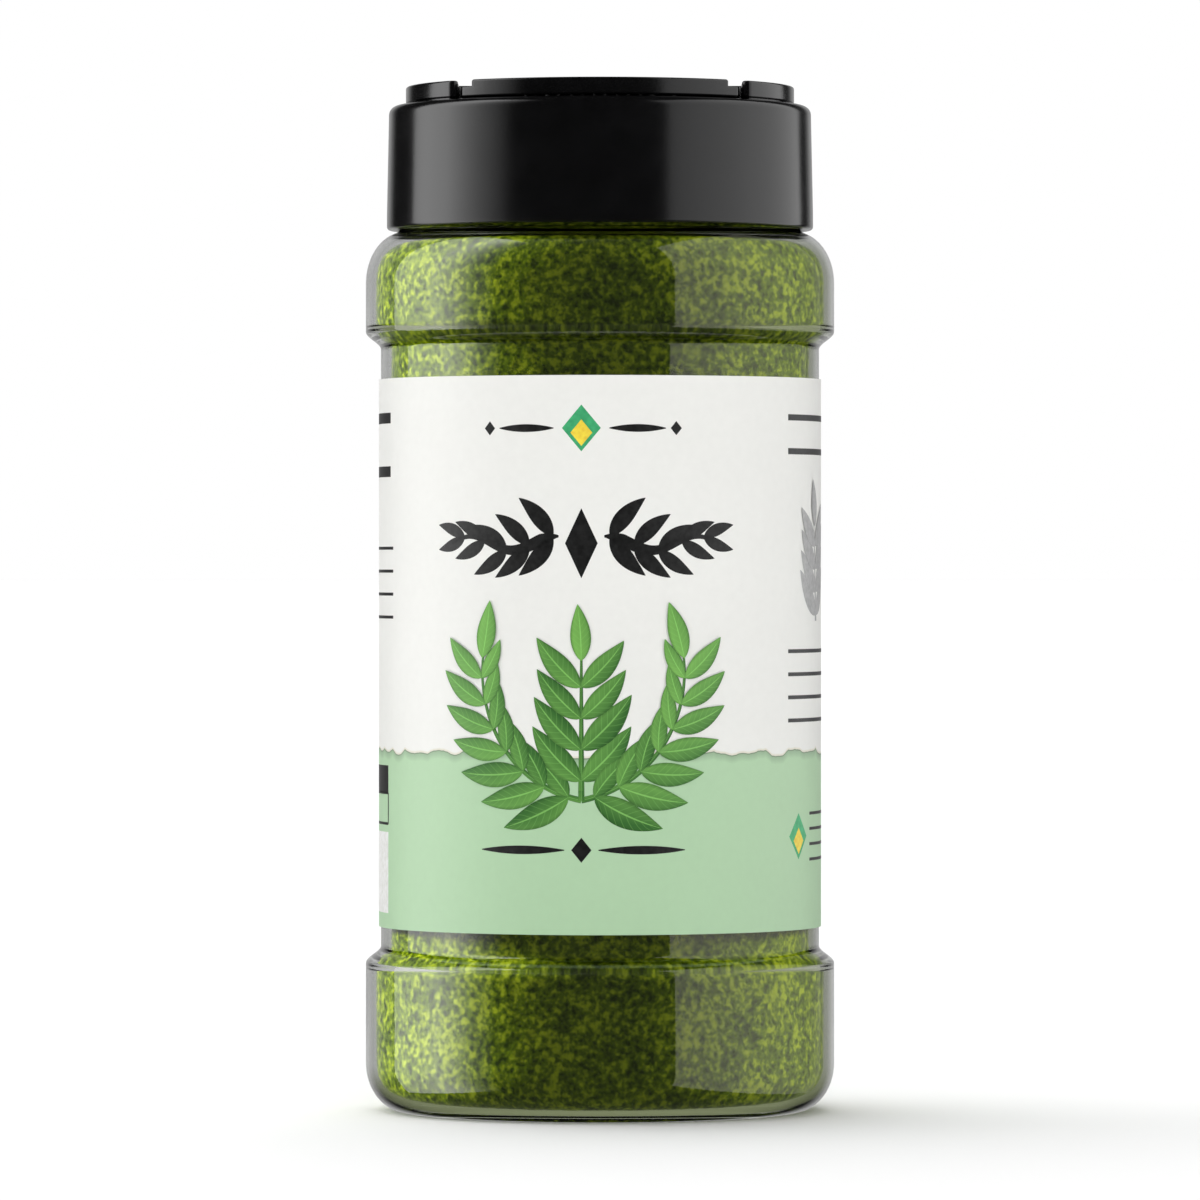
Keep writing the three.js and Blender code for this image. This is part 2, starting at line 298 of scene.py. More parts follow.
def thread_ridge(heights, columns, start_z, turns):
    """How far a screw thread stands out at each height and angle: a trapezium about a line that climbs one
    pitch a turn, which fades in and out at its ends."""
    angle = np.arange(columns) / columns
    ridge = np.zeros((len(heights), columns))
    for lap in range(math.ceil(turns)):
        way = angle + lap
        ramp = np.clip(np.minimum(way, turns - way) / THREAD_FADE, 0, 1)
        off = np.abs(heights[:, None] - start_z - way * THREAD_PITCH)
        flank = np.clip((THREAD_ROOT / 2 - off) / (THREAD_ROOT / 2 - THREAD_CREST / 2), 0, 1)
        ridge = np.maximum(ridge, flank * ramp * THREAD_HEIGHT)
    return ridge


def threaded_shell(before, wall, after, ridge):
    """A turned shell whose profile is three runs of points and starts and ends on the axis, with a thread's
    ridge added to the middle run."""
    profile = np.vstack([before, wall, after])
    radius = profile[:, :1].repeat(FINE, 1)
    radius[len(before):len(before) + len(wall)] += ridge
    radius[0] = radius[-1] = 0
    return turned(radius, profile[:, 1], FINE)


def speckle(rows, columns, soften, seed):
    """Random heights from 0 to 1 on a grid, each averaged several times with its neighbours."""
    grid = np.random.default_rng(seed).random((rows, columns))
    for _ in range(soften):
        grid = (grid + np.roll(grid, 1, 1) + np.roll(grid, -1, 1)) / 3
        grid = (grid + np.roll(grid, 1, 0) + np.roll(grid, -1, 0)) / 3
    grid -= grid.min()
    return grid / grid.max()


def fillet(corners, radii, steps=8):
    """A closed outline with each corner rounded: an arc of the given radius that meets both sides."""
    corners = np.asarray(corners, float)
    radii = np.broadcast_to(radii, len(corners))
    into = corners - np.roll(corners, 1, 0)
    out = np.roll(corners, -1, 0) - corners
    into /= np.linalg.norm(into, axis=1, keepdims=True)
    out /= np.linalg.norm(out, axis=1, keepdims=True)
    bend = np.arctan2(into[:, 0] * out[:, 1] - into[:, 1] * out[:, 0], (into * out).sum(1))
    reach = radii * np.tan(np.abs(bend) / 2)
    side = np.sign(bend)[:, None] * np.column_stack([-into[:, 1], into[:, 0]])
    centre = corners - into * reach[:, None] + side * radii[:, None]
    share = np.linspace(0, 1, steps + 1)[None, :] * bend[:, None]
    spoke = -side * radii[:, None]
    x = centre[:, :1] + spoke[:, :1] * np.cos(share) - spoke[:, 1:] * np.sin(share)
    y = centre[:, 1:] + spoke[:, :1] * np.sin(share) + spoke[:, 1:] * np.cos(share)
    outline = np.stack([x, y], -1).reshape(-1, 2)
    apart = np.linalg.norm(outline - np.roll(outline, 1, 0), axis=1) > 1e-7
    return outline[apart]


def slab(outline, low_z, high_z, low_edge=0.0, high_edge=0.0, steps=4):
    """A flat outline raised between two heights. Near each end it draws in along a quarter circle, so that
    the edge is round."""
    before = outline - np.roll(outline, 1, 0)
    after = np.roll(outline, -1, 0) - outline
    before /= np.linalg.norm(before, axis=1, keepdims=True)
    after /= np.linalg.norm(after, axis=1, keepdims=True)
    tangent = before + after
    tangent /= np.linalg.norm(tangent, axis=1, keepdims=True)
    outward = np.column_stack([tangent[:, 1], -tangent[:, 0]])
    angle = np.linspace(0, RIGHT_ANGLE, steps + 1)
    inset = np.concatenate([low_edge * (1 - np.sin(angle)), high_edge * (1 - np.cos(angle))])
    low_part = low_z + low_edge * (1 - np.cos(angle))
    high_part = high_z - high_edge * (1 - np.sin(angle))
    height = np.concatenate([low_part, high_part])
    keep = np.concatenate([[True], np.abs(np.diff(height)) > 1e-9])
    inset, height = inset[keep], height[keep]
    flat = outline[None] - outward[None] * inset[:, None, None]
    points = np.dstack([flat, np.broadcast_to(height[:, None], flat.shape[:2])])
    count = len(outline)
    faces = grid_faces(len(height), count)
    faces.append(list(range(count))[::-1])
    faces.append(list(range((len(height) - 1) * count, len(height) * count)))
    return points.reshape(-1, 3), faces


# Meshes, Boolean joins and pieces

def mesh_object(name, shells):
    """One object at the origin from several closed shells, each a pair of points and faces."""
    points = []
    faces = []
    first = 0
    for shell_points, shell_faces in shells:
        faces += [[corner + first for corner in face] for face in shell_faces]
        points.append(shell_points)
        first += len(shell_points)
    mesh = bpy.data.meshes.new(name)
    mesh.from_pydata(np.vstack(points).tolist(), [], faces)
    mesh.validate()
    piece = bpy.data.objects.new(name, mesh)
    bpy.context.scene.collection.objects.link(piece)
    return piece


def combine(base, operation, shells):
    """Joins or cuts shells, one by one, with a Boolean on the base, and keeps the result as its mesh."""
    for shell in shells:
        tool = mesh_object("tool", [shell])
        modifier = base.modifiers.new("Join or cut", "BOOLEAN")
        modifier.operation = operation
        modifier.solver = "MANIFOLD"
        modifier.object = tool
        bpy.context.view_layer.update()
        evaluated = base.evaluated_get(bpy.context.evaluated_depsgraph_get())
        result = bpy.data.meshes.new_from_object(evaluated)
        base.modifiers.clear()
        base.data = result
        bpy.data.objects.remove(tool)
    if not base.data.polygons:
        raise RuntimeError("a Boolean left nothing of " + base.name)
    return base


def finish_piece(piece, body, material, replaced=(), crease=32):
    """Smooth shading with sharp creases, one material, and the piece's place among the bodies."""
    piece.data.materials.clear()
    piece.data.materials.append(material)
    piece.data.shade_smooth()
    piece.data.set_sharp_from_angle(angle=math.radians(crease))
    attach(piece, body)
    if replaced:
        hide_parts(*replaced)
    return piece


def note(piece, name, values):
    """Keeps one vector for each point of the mesh, which the material reads by name."""
    attribute = piece.data.attributes.new(name, "FLOAT_VECTOR", "POINT")
    attribute.data.foreach_set("vector", np.asarray(values, np.float32).ravel())


# Materials

def node(tree, kind, inputs=None, **settings):
    """A new node with its settings, and its inputs set to values or linked to sockets."""
    new = tree.nodes.new("ShaderNode" + kind)
    for name, value in settings.items():
        setattr(new, name, value)
    for key, value in (inputs or {}).items():
        if isinstance(value, bpy.types.NodeSocket):
            tree.links.new(value, new.inputs[key])
        else:
            new.inputs[key].default_value = value
    return new


def maths(tree, operation, first, second=0.0, third=0.0):
    """The result of one Math node."""
    return node(tree, "Math", {0: first, 1: second, 2: third}, operation=operation).outputs[0]


def ramp(tree, factor, stops):
    """A colour ramp with stops given as position and colour."""
    new = node(tree, "ValToRGB", {0: factor})
    elements = new.color_ramp.elements
    elements[0].position, elements[0].color = stops[0][0], (*stops[0][1], 1)
    elements[1].position, elements[1].color = stops[-1][0], (*stops[-1][1], 1)
    for position, colour in stops[1:-1]:
        element = elements.new(position)
        element.color = (*colour, 1)
    return new.outputs[0]


def mixed(tree, factor, first, second, blend_type="MIX"):
    """Two colours mixed by a factor."""
    new = node(tree, "Mix", data_type="RGBA", blend_type=blend_type)
    for socket, value in ((new.inputs[0], factor), (new.inputs[6], first), (new.inputs[7], second)):
        if isinstance(value, bpy.types.NodeSocket):
            tree.links.new(value, socket)
        else:
            socket.default_value = value
    return new.outputs[2]


def noise(tree, place, per_metre, detail=2.0, roughness=0.5):
    """The grey value of a noise, whose scale is its waves for each metre."""
    inputs = {"Vector": place, "Scale": per_metre, "Detail": detail, "Roughness": roughness}
    return node(tree, "TexNoise", inputs).outputs[0]


def line_noise(tree, way, scale, detail):
    """The grey value of a noise along a line."""
    inputs = {"W": way, "Scale": scale, "Detail": detail}
    return node(tree, "TexNoise", inputs, noise_dimensions="1D").outputs[0]


def bump(tree, height, depth):
    """A bump of the given depth in metres."""
    return node(tree, "Bump", {"Height": height, "Distance": depth, "Strength": 1.0}).outputs[0]


def start_material(name, **sockets):
    """A material with one Principled shader. Returns it with its node tree, shader and Object coordinates."""
    material = bpy.data.materials.new(name)
    material.use_nodes = True
    tree = material.node_tree
    tree.nodes.clear()
    shader = node(tree, "BsdfPrincipled", {key.replace("_", " "): value for key, value in sockets.items()})
    node(tree, "OutputMaterial", {"Surface": shader.outputs[0]})
    place = node(tree, "TexCoord").outputs["Object"]
    return material, tree, shader, place


def grey(value):
    """A neutral colour."""
    return (value, value, value, 1)


def clear_plastic():
    """Clear blown plastic: glass-like, faintly wavy, and open to the rays that lamps send to the powder."""
    material, tree, shader, place = start_material(
        "clear blown plastic", Transmission_Weight=1.0, IOR=1.5, Roughness=0.035,
    )
    shader.inputs["Base Color"].default_value = (0.97, 0.985, 0.965, 1)
    waves = noise(tree, place, 70, 1.0)
    tree.links.new(bump(tree, waves, 0.03 * MM), shader.inputs["Normal"])
    path = node(tree, "LightPath")
    window = node(tree, "BsdfTransparent", {"Color": (0.95, 0.965, 0.94, 1)})
    surfaces = {0: path.outputs["Is Shadow Ray"], 1: shader.outputs[0], 2: window.outputs[0]}
    both = node(tree, "MixShader", surfaces)
    output = next(n for n in tree.nodes if n.type == "OUTPUT_MATERIAL")
    tree.links.new(both.outputs[0], output.inputs["Surface"])
    return material


def leaf_powder(colours):
    """Ground dry leaf: olive grains in clumps and a few pale flecks, darker in the hollows partly as its own
    mottling and partly as painted shade.
    """
    material, tree, shader, place = start_material("ground leaf", Roughness=0.95, Specular_IOR_Level=0.0)
    grains = node(tree, "TexVoronoi", {"Vector": place, "Scale": 1400.0}).outputs["Color"]
    grain_tone = node(tree, "SeparateColor", {0: grains}).outputs[0]
    clumps = noise(tree, place, 1150, 3.0, 0.6)
    patches = noise(tree, place, 150, 2.0, 0.5)
    # Painted shade: the colour goes darker where the clumps noise, which also raises the bump, is low, so the
    # hollows carry painted shade on top of the powder's own mottling.
    tone = maths(tree, "MULTIPLY_ADD", grain_tone, 0.22, maths(tree, "MULTIPLY", clumps, 2.1))
    tone = maths(tree, "MULTIPLY_ADD", patches, 0.6, maths(tree, "ADD", tone, -0.98))
    dark = tuple(colours.powder_dark_and_hollow_shade)
    middle = tuple(colours.powder_middle)
    light = tuple(colours.powder_light)
    colour = ramp(tree, tone, [(0.12, dark), (0.5, middle), (0.82, light)])
    tree.links.new(colour, shader.inputs["Base Color"])
    rough = maths(tree, "ADD", maths(tree, "MULTIPLY", grain_tone, 0.4), clumps)
    tree.links.new(bump(tree, rough, 0.02 * MM), shader.inputs["Normal"])
    return material


def label_paper(colours):
    """Coated paper, white above a torn edge and mint below it. The edge is a stepped line round the jar with
    a pale fringe, a dark line and a soft shadow under it."""
    material, tree, shader, place = start_material("printed paper", Roughness=0.5, Specular_IOR_Level=0.35)
    axes = node(tree, "SeparateXYZ", {0: place})
    angle = maths(tree, "ARCTAN2", axes.outputs[0], maths(tree, "MULTIPLY", axes.outputs[1], -1.0))
    round_jar = maths(tree, "MULTIPLY", angle, LABEL_R / MM)
    wide = line_noise(tree, round_jar, 0.13, 1.0)
    steps = maths(tree, "PINGPONG", maths(tree, "MULTIPLY", wide, 6.0), 1.0)
    flats = maths(tree, "SMOOTH_MAX", steps, 0.35, 0.2)
    fine = line_noise(tree, round_jar, 0.8, 3.0)
    rough = maths(tree, "MULTIPLY_ADD", wide, 1.2, maths(tree, "MULTIPLY", fine, 0.2))
    edge = maths(tree, "MULTIPLY_ADD", flats, 0.9, rough)
    height = maths(tree, "MULTIPLY", axes.outputs[2], 1 / MM)
    above = maths(tree, "SUBTRACT", height, maths(tree, "ADD", edge, colours.torn_edge_z / MM - 1.75))
    white, mint = tuple(colours.paper_white), tuple(colours.paper_mint)
    shadow = tuple(0.70 * c for c in mint)
    dark = tuple(0.40 * c for c in mint)
    cream = (0.80, 0.77, 0.66)
    fringe = maths(tree, "MULTIPLY_ADD", above, 0.25, 0.5)
    colour = ramp(tree, fringe, [
        (0.22, mint), (0.45, shadow), (0.475, dark), (0.49, dark),
        (0.50, cream), (0.53, cream), (0.58, white),
    ])
    fibres = noise(tree, place, 900, 3.0)
    cloud = noise(tree, place, 45, 2.0)
    tint = maths(tree, "MULTIPLY_ADD", fibres, 0.05, maths(tree, "MULTIPLY_ADD", cloud, 0.05, 0.95))
    tint_colour = node(tree, "CombineColor", {0: tint, 1: tint, 2: tint}).outputs[0]
    tree.links.new(mixed(tree, 1.0, colour, tint_colour, "MULTIPLY"), shader.inputs["Base Color"])
    tree.links.new(bump(tree, fibres, 0.01 * MM), shader.inputs["Normal"])
    return material


def printed_leaf(colours):
    """Leaf green ink: the stroke attribute holds the way along, the way across and a tone for each leaf."""
    material, tree, shader, place = start_material("leaf green ink", Roughness=0.45, Specular_IOR_Level=0.35)
    marks = node(tree, "Attribute", attribute_name="stroke").outputs["Vector"]
    way, across, tone = node(tree, "SeparateXYZ", {0: marks}).outputs
    side = maths(tree, "ABSOLUTE", across)
    rib = maths(tree, "LESS_THAN", side, 0.06)
    slant = maths(tree, "SUBTRACT", maths(tree, "MULTIPLY", way, 9.0), maths(tree, "MULTIPLY", side, 1.6))
    vein = maths(tree, "GREATER_THAN", maths(tree, "SINE", maths(tree, "MULTIPLY", slant, TURN)), 0.9)
    dark, light = tuple(colours.leaf_dark), tuple(colours.leaf_light)
    glow = maths(tree, "MULTIPLY_ADD", across, 0.2, maths(tree, "MULTIPLY_ADD", way, -0.2, 0.12))
    cloud = noise(tree, place, 260, 2.0)
    varied = maths(tree, "MULTIPLY_ADD", cloud, 0.3, maths(tree, "MULTIPLY", tone, 0.75))
    glow = maths(tree, "ADD", glow, varied)
    body = ramp(tree, glow, [(0.12, dark), (0.95, light)])
    pale = tuple(min(1, 1.5 * c + 0.04) for c in light)
    lines = maths(tree, "MAXIMUM", maths(tree, "MULTIPLY", rib, 0.5), maths(tree, "MULTIPLY", vein, 0.14))
    rim = node(tree, "MapRange", {0: side, 1: 0.7, 2: 1.0, 3: 0.0, 4: 0.55}).outputs[0]
    shaded = mixed(tree, rim, body, (*(0.5 * c for c in dark), 1))
    tree.links.new(mixed(tree, lines, shaded, (*pale, 1)), shader.inputs["Base Color"])
    return material


def flat_ink(name, colour):
    """Ink of one colour that takes a little of the paper's grain."""
    material, tree, shader, place = start_material(name, Roughness=0.42, Specular_IOR_Level=0.35)
    grain = noise(tree, place, 1500, 2.0)
    lighter = tuple(min(1, 1.35 * c + 0.01) for c in colour)
    mottled = ramp(tree, grain, [(0.3, tuple(colour)), (0.75, lighter)])
    tree.links.new(mottled, shader.inputs["Base Color"])
    return material


def black_plastic(colours):
    """Moulded black plastic: satin gloss with faint mottling and a very fine grain."""
    material, tree, shader, place = start_material("moulded black plastic", IOR=1.5, Specular_IOR_Level=0.55)
    mottle = noise(tree, place, 260, 3.0)
    black = tuple(colours.cap_black)
    lighter = tuple(1.5 * c for c in black)
    tree.links.new(ramp(tree, mottle, [(0.35, black), (0.7, lighter)]), shader.inputs["Base Color"])
    rough = maths(tree, "MULTIPLY_ADD", mottle, 0.08, 0.13)
    tree.links.new(rough, shader.inputs["Roughness"])
    grain = noise(tree, place, 2600, 2.0)
    peel = maths(tree, "MULTIPLY_ADD", noise(tree, place, 150, 1.0), 3.0, grain)
    tree.links.new(bump(tree, peel, 0.004 * MM), shader.inputs["Normal"])
    return material


def liner_foam(colours):
    """Pressed foam sheet, off-white with fine pits, each darker towards its bottom as painted shade."""
    material, tree, shader, place = start_material("liner foam", Roughness=0.85)
    pits = node(tree, "TexVoronoi", {"Vector": place, "Scale": 1800.0}).outputs["Distance"]
    foam = tuple(colours.foam)
    # Painted shade: the colour darkens towards the bottom of each pit, in the same cells that the bump sinks.
    pit_shade = tuple(0.8 * c for c in foam)
    tree.links.new(ramp(tree, pits, [(0.05, pit_shade), (0.5, foam)]), shader.inputs["Base Color"])
    tree.links.new(bump(tree, pits, 0.05 * MM), shader.inputs["Normal"])
    return material


# Jar, powder and liner

def build_jar(sizes):
    """One closed shell: push-up, heel, waists, shoulder and bead outside, a screw thread raised on the neck,
    a round lip, and inside a like profile moved inwards by the wall."""
    wall = sizes.wall
    bore = NECK_R - NECK_WALL
    bead = (BEAD_ROUND, BEAD_ROUND)
    outer = np.vstack([
        arc((0, 0), (FOOT_INNER_R, PUSH_UP), RIGHT_ANGLE, 0, 14),
        until_radius(jar_side(0, 0), BEAD_R + 0.2 * MM, SHOULDER_Z),
        arc((BEAD_R - BEAD_ROUND, BEAD_TOP_Z - BEAD_ROUND), bead, 0, RIGHT_ANGLE, 4),
        arc((NECK_R + BEAD_ROUND, BEAD_TOP_Z + BEAD_ROUND), bead, -RIGHT_ANGLE, -math.pi, 4),
    ])
    neck = line((NECK_R, NECK_FOOT_Z), (NECK_R, LIP_Z - LIP_ROUND), sizes.thread_rows)
    lip = np.vstack([
        arc((NECK_R - LIP_ROUND, LIP_Z - LIP_ROUND), (LIP_ROUND, LIP_ROUND), 0, RIGHT_ANGLE, 5)[1:],
        arc((bore + 0.3 * MM, LIP_Z - 0.3 * MM), (0.3 * MM, 0.3 * MM), RIGHT_ANGLE, math.pi, 3),
    ])
    inner = until_radius(jar_side(wall, BASE_WALL), bore + 0.2 * MM, SHOULDER_Z)[::-1]
    inside = np.vstack([
        lip,
        arc((bore + 0.5 * MM, SHOULDER_CREST_Z - wall / 2), (0.5 * MM, 0.8 * MM), math.pi, 1.3 * math.pi, 3),
        inner,
        arc((0, BASE_WALL), (FOOT_OUTER_R - wall, PUSH_UP), 0, RIGHT_ANGLE, 14)[1:],
    ])
    ridge = thread_ridge(neck[:, 1], FINE, JAR_THREAD_Z, JAR_THREAD_TURNS)
    piece = mesh_object("clear_jar", [threaded_shell(outer, neck, inside, ridge)])
    join_light_groups(piece, "jar")
    return finish_piece(piece, "jar", clear_plastic(), ["jar_body"])


def build_powder(sizes, colours):
    """The jar's inside filled up: its profile, sampled finely where it shows, with every point drawn in along
    the profile's normal by a random grain, and a low heap at the top."""
    inset = sizes.wall + POWDER_TOUCH
    lift = BASE_WALL + POWDER_TOUCH
    bore = NECK_R - NECK_WALL - POWDER_TOUCH - sizes.relief
    side = until_radius(jar_side(inset, lift), bore, SHOULDER_Z)
    low = side[side[:, 1] <= LOWER_STEP_Z[1]]
    high = side[side[:, 1] >= UPPER_STEP_Z[0]]
    radius = PANEL_R - inset
    below_label = (radius, LABEL_LOW.z + 1.5 * MM)
    above_label = (radius, LABEL_HIGH.z - 1.5 * MM)
    base = arc((0, lift), (FOOT_OUTER_R - sizes.wall, PUSH_UP), RIGHT_ANGLE, 0, 14)
    crest = (bore, SHOULDER_CREST_Z - inset)
    heap_rim = (bore, POWDER_TOP_Z)
    heap_middle = (bore / 2, POWDER_TOP_Z + 0.7 * POWDER_HEAP)
    heap_top = (0, POWDER_TOP_Z + POWDER_HEAP)
    rows = sizes.powder_rows
    profile = np.vstack([
        along(base, 12)[:-1],
        along(np.vstack([base[-1:], low, below_label]), rows)[:-1],
        along([below_label, above_label], 10)[:-1],
        along(np.vstack([above_label, high, crest]), rows)[:-1],
        along([crest, heap_rim], 10)[:-1],
        along([heap_rim, heap_middle, heap_top], 22),
    ])
    profile[0, 0] = 0
    profile[-1, 0] = 0
    slope = np.gradient(profile, axis=0)
    normal = np.column_stack([slope[:, 1], -slope[:, 0]]) / np.hypot(*slope.T)[:, None]
    columns = sizes.powder_columns
    grain = 0.6 * speckle(len(profile), columns, 1, 5) + 0.4 * speckle(len(profile), columns, 4, 9)
    grain = np.clip((grain - 0.3) / 0.45, 0, 1)
    depth = sizes.relief * grain * np.clip(profile[:, :1] / POWDER_CALM_R, 0, 1)
    r = profile[:, :1] - normal[:, :1] * depth
    z = profile[:, 1:] - normal[:, 1:] * depth
    r[0] = r[-1] = 0
    points, faces = turned(r, profile[:, 1], columns)
    ends = [z[1:-1].ravel(), [profile[0, 1], profile[-1, 1]]]
    points[:, 2] = np.concatenate(ends)
    piece = mesh_object("leaf_powder_fill", [(points, faces)])
    join_light_groups(piece, "powder")
    return finish_piece(piece, "jar", leaf_powder(colours), ["powder_fill"], crease=180)


def build_liner(colours):
    """A flat ring with round edges."""
    low, high = LINER_LOW.z, LINER_HIGH.z
    outer, inner = LINER_HIGH.x, LINER_BORE_R
    profile = fillet([(inner, low), (outer, low), (outer, high), (inner, high)], LINER_EDGE, 3)
    piece = mesh_object("liner_foam_ring", [turned(profile[:, 0], profile[:, 1], FINE)])
    return finish_piece(piece, "liner", liner_foam(colours), ["liner_ring"])


# Label and print

def on_label(flat, radius):
    """Wraps flat points, with x the way round from the front and y the height, on a cylinder about the Z
    axis."""
    angle = flat[..., 0] / LABEL_R
    return np.stack([radius * np.sin(angle), -radius * np.cos(angle), flat[..., 1]], -1)


def build_label(colours):
    """A closed sheet once round the jar and a little more. Its radius rises by one thickness where the end
    laps over the start, and it ripples very slightly."""
    columns = LABEL_COLUMNS
    rows = LABEL_ROWS
    angle = np.linspace(-math.pi - LABEL_LAP / 2, math.pi + LABEL_LAP / 2, columns)
    rise = np.clip((angle - (math.pi - 2.2 * LABEL_LAP)) / LABEL_LAP, 0, 1)
    lift = PAPER * 1.04 * rise * rise * (3 - 2 * rise)
    low = LABEL_LOW.z
    high = LABEL_HIGH.z
    heights = np.linspace(low, high, rows)
    share = (heights - low) / (high - low)
    ripple = RIPPLE * np.sin(angle[None] * 11 + 2 * share[:, None]) * np.sin(math.pi * share[:, None])
    flat = np.stack(np.broadcast_arrays(angle[None] * LABEL_R, heights[:, None]), -1)
    outside = on_label(flat, LABEL_R + lift[None] + ripple)
    inside = on_label(flat, LABEL_R + lift[None] + ripple - PAPER)
    points = np.concatenate([outside, inside[::-1]])
    faces = grid_faces(2 * rows, columns, wrap_rows=True, wrap_columns=False)
    section = np.arange(2 * rows) * columns
    faces.append(section.tolist())
    faces.append((section + columns - 1)[::-1].tolist())
    piece = mesh_object("paper_label", [(points.reshape(-1, 3), faces)])
    return finish_piece(piece, "jar", label_paper(colours), ["label_wrap"])


def stroke(path, half_width, tone=0.5, layer=0):
    """A printed stroke: a thin closed strip on the label that follows a path and has half a width at each
    of its points. Returns its points and faces, and the way along, way across and tone at each point."""
    path = np.asarray(path, float)
    half_width = np.broadcast_to(half_width, len(path))
    tangent = np.gradient(path, axis=0)
    tangent /= np.linalg.norm(tangent, axis=1, keepdims=True)
    across = np.column_stack([-tangent[:, 1], tangent[:, 0]])
    share = np.linspace(1, -1, 7)
    flat = path[None] + across[None] * half_width[None, :, None] * share[:, None, None]
    base = LABEL_R + (0.6 + layer) * INK
    ring = np.concatenate([on_label(flat, base + INK), on_label(flat[::-1], base - 2 * INK)])
    rows, columns = ring.shape[:2]
    faces = grid_faces(rows, columns, wrap_rows=True, wrap_columns=False)
    section = np.arange(rows) * columns
    faces = [face[::-1] for face in faces]
    faces.append(section[::-1].tolist())
    faces.append((section + columns - 1).tolist())
    way = np.broadcast_to(np.linspace(0, 1, columns), (rows, columns))
    side = np.broadcast_to(np.concatenate([share, share[::-1]])[:, None], (rows, columns))
    marks = np.stack([way, side, np.full((rows, columns), tone)], -1)
    return ring.reshape(-1, 3), faces, marks.reshape(-1, 3)


def print_piece(name, strokes, material):
    """One printed colour: its strokes as one mesh that rides with the jar."""
    piece = mesh_object(name, [(points, faces) for points, faces, _ in strokes])
    note(piece, "stroke", np.vstack([marks for _, _, marks in strokes]))
    return finish_piece(piece, "jar", material)


def leaf_path(root, heading, length, curl, count=LEAF_POINTS):
    """A midrib that leaves its root at a heading in degrees and turns steadily by curl degrees."""
    way = np.linspace(0, 1, count)
    angle = np.radians(heading + curl * way)
    step = length / (count - 1)
    x = root[0] + np.concatenate([[0], np.cumsum(np.cos(angle[:-1]) * step)])
    y = root[1] + np.concatenate([[0], np.cumsum(np.sin(angle[:-1]) * step)])
    return np.column_stack([x, y])


def leaf(root, heading, length, width, curl=12, tone=0.5, layer=0):
    """A leaf blade: half its width follows a sine of the way along, fullest below the middle."""
    way = np.linspace(0, 1, LEAF_POINTS)
    half = width / 2 * np.sin(math.pi * way ** 0.8) ** 0.9 + 0.02 * MM
    return stroke(leaf_path(root, heading, length, curl), half, tone, layer)


def rule(start, end, width, taper=False):
    """A straight printed rule, which may thin out towards both ends."""
    path = line(start, end, 24)
    way = np.linspace(-1, 1, len(path))
    half = width / 2 * (1 - way ** 2 * 0.9 if taper else np.ones_like(way))
    return stroke(path, half)


def lozenge(centre, width, height, layer=0):
    """A printed lozenge: a short stroke whose width falls off on both sides of its middle."""
    x, y = centre
    path = line((x - width / 2, y), (x + width / 2, y), 12)
    half = height / 2 * (1 - np.abs(np.linspace(-1, 1, len(path)))) + 0.01 * MM
    return stroke(path, half, layer=layer)


def panel(centre, width, height):
    """A filled box."""
    x, y = centre
    return rule((x - width / 2, y), (x + width / 2, y), height)


def frame_lines(centre, width, height, weight):
    """The four rules round a box."""
    x, y = centre
    left, right, low, high = x - width / 2, x + width / 2, y - height / 2, y + height / 2
    return [
        rule((left, low), (right, low), weight),
        rule((left, high), (right, high), weight),
        rule((left, low), (left, high), weight),
        rule((right, low), (right, high), weight),
    ]


def scroll_band(middle, half_length, height):
    """A bold flourish: a stem that follows a sine wave, with broad leaves above and below it on both sides of
    a lozenge."""
    x, z = middle
    strokes = [lozenge((x, z), 4.2 * MM, 0.62 * height)]
    for side in (-1, 1):
        way = np.linspace(0.16, 1, 60)
        stem = np.column_stack([x + side * half_length * way, z + 0.9 * MM * np.sin(way * 3 * math.pi)])
        width = 0.9 * MM * (1.2 - way) * np.clip((way - 0.14) / 0.14, 0.15, 1)
        strokes.append(stroke(stem if side > 0 else stem[::-1], width if side > 0 else width[::-1]))
        for step in range(5):
            root = stem[3 + 12 * step]
            for up in (-1, 1):
                lean = 60 - 7 * step
                heading = up * lean if side > 0 else 180 - up * lean
                size = height * (0.47 - 0.035 * step)
                strokes.append(leaf(root, heading, size, 0.32 * size, -26 * up * side))
    return strokes


def leafy_branch(branch, size, pairs, inner=0, seed=21, first_tone=0.0):
    """A stem with pairs of leaves that shrink towards its tip and one more leaf that carries on from the tip.
    Leaves on the inner side of a bend are shorter and lie closer to the stem."""
    rng = np.random.default_rng(seed)
    count = len(branch)
    strokes = [stroke(branch, np.linspace(0.4, 0.15, count) * MM, 0.1)]
    gap = (count - 8) // pairs
    for step in range(pairs):
        spot = 4 + gap * step
        heading = math.degrees(math.atan2(*(branch[spot + 1] - branch[spot])[::-1]))
        for turn in (-1, 1):
            share = 0.76 if turn == inner else 1.0
            length = size * (1 - 0.045 * step) * share * rng.uniform(0.95, 1.05)
            lean = 40 if turn == inner else 52
            tone = first_tone + rng.uniform(0.0, 0.3) + 0.09 * step
            layer = 1 + 2 * (2 * step + (turn > 0))
            aside = heading + turn * lean
            strokes.append(leaf(branch[spot], aside, length, 0.35 * length, -20 * turn, tone, layer))
    tip = math.degrees(math.atan2(*(branch[-1] - branch[-2])[::-1]))
    strokes.append(leaf(branch[-6], tip, 0.75 * size, 0.27 * size, 8, 0.8, 4 * pairs + 3))
    return strokes


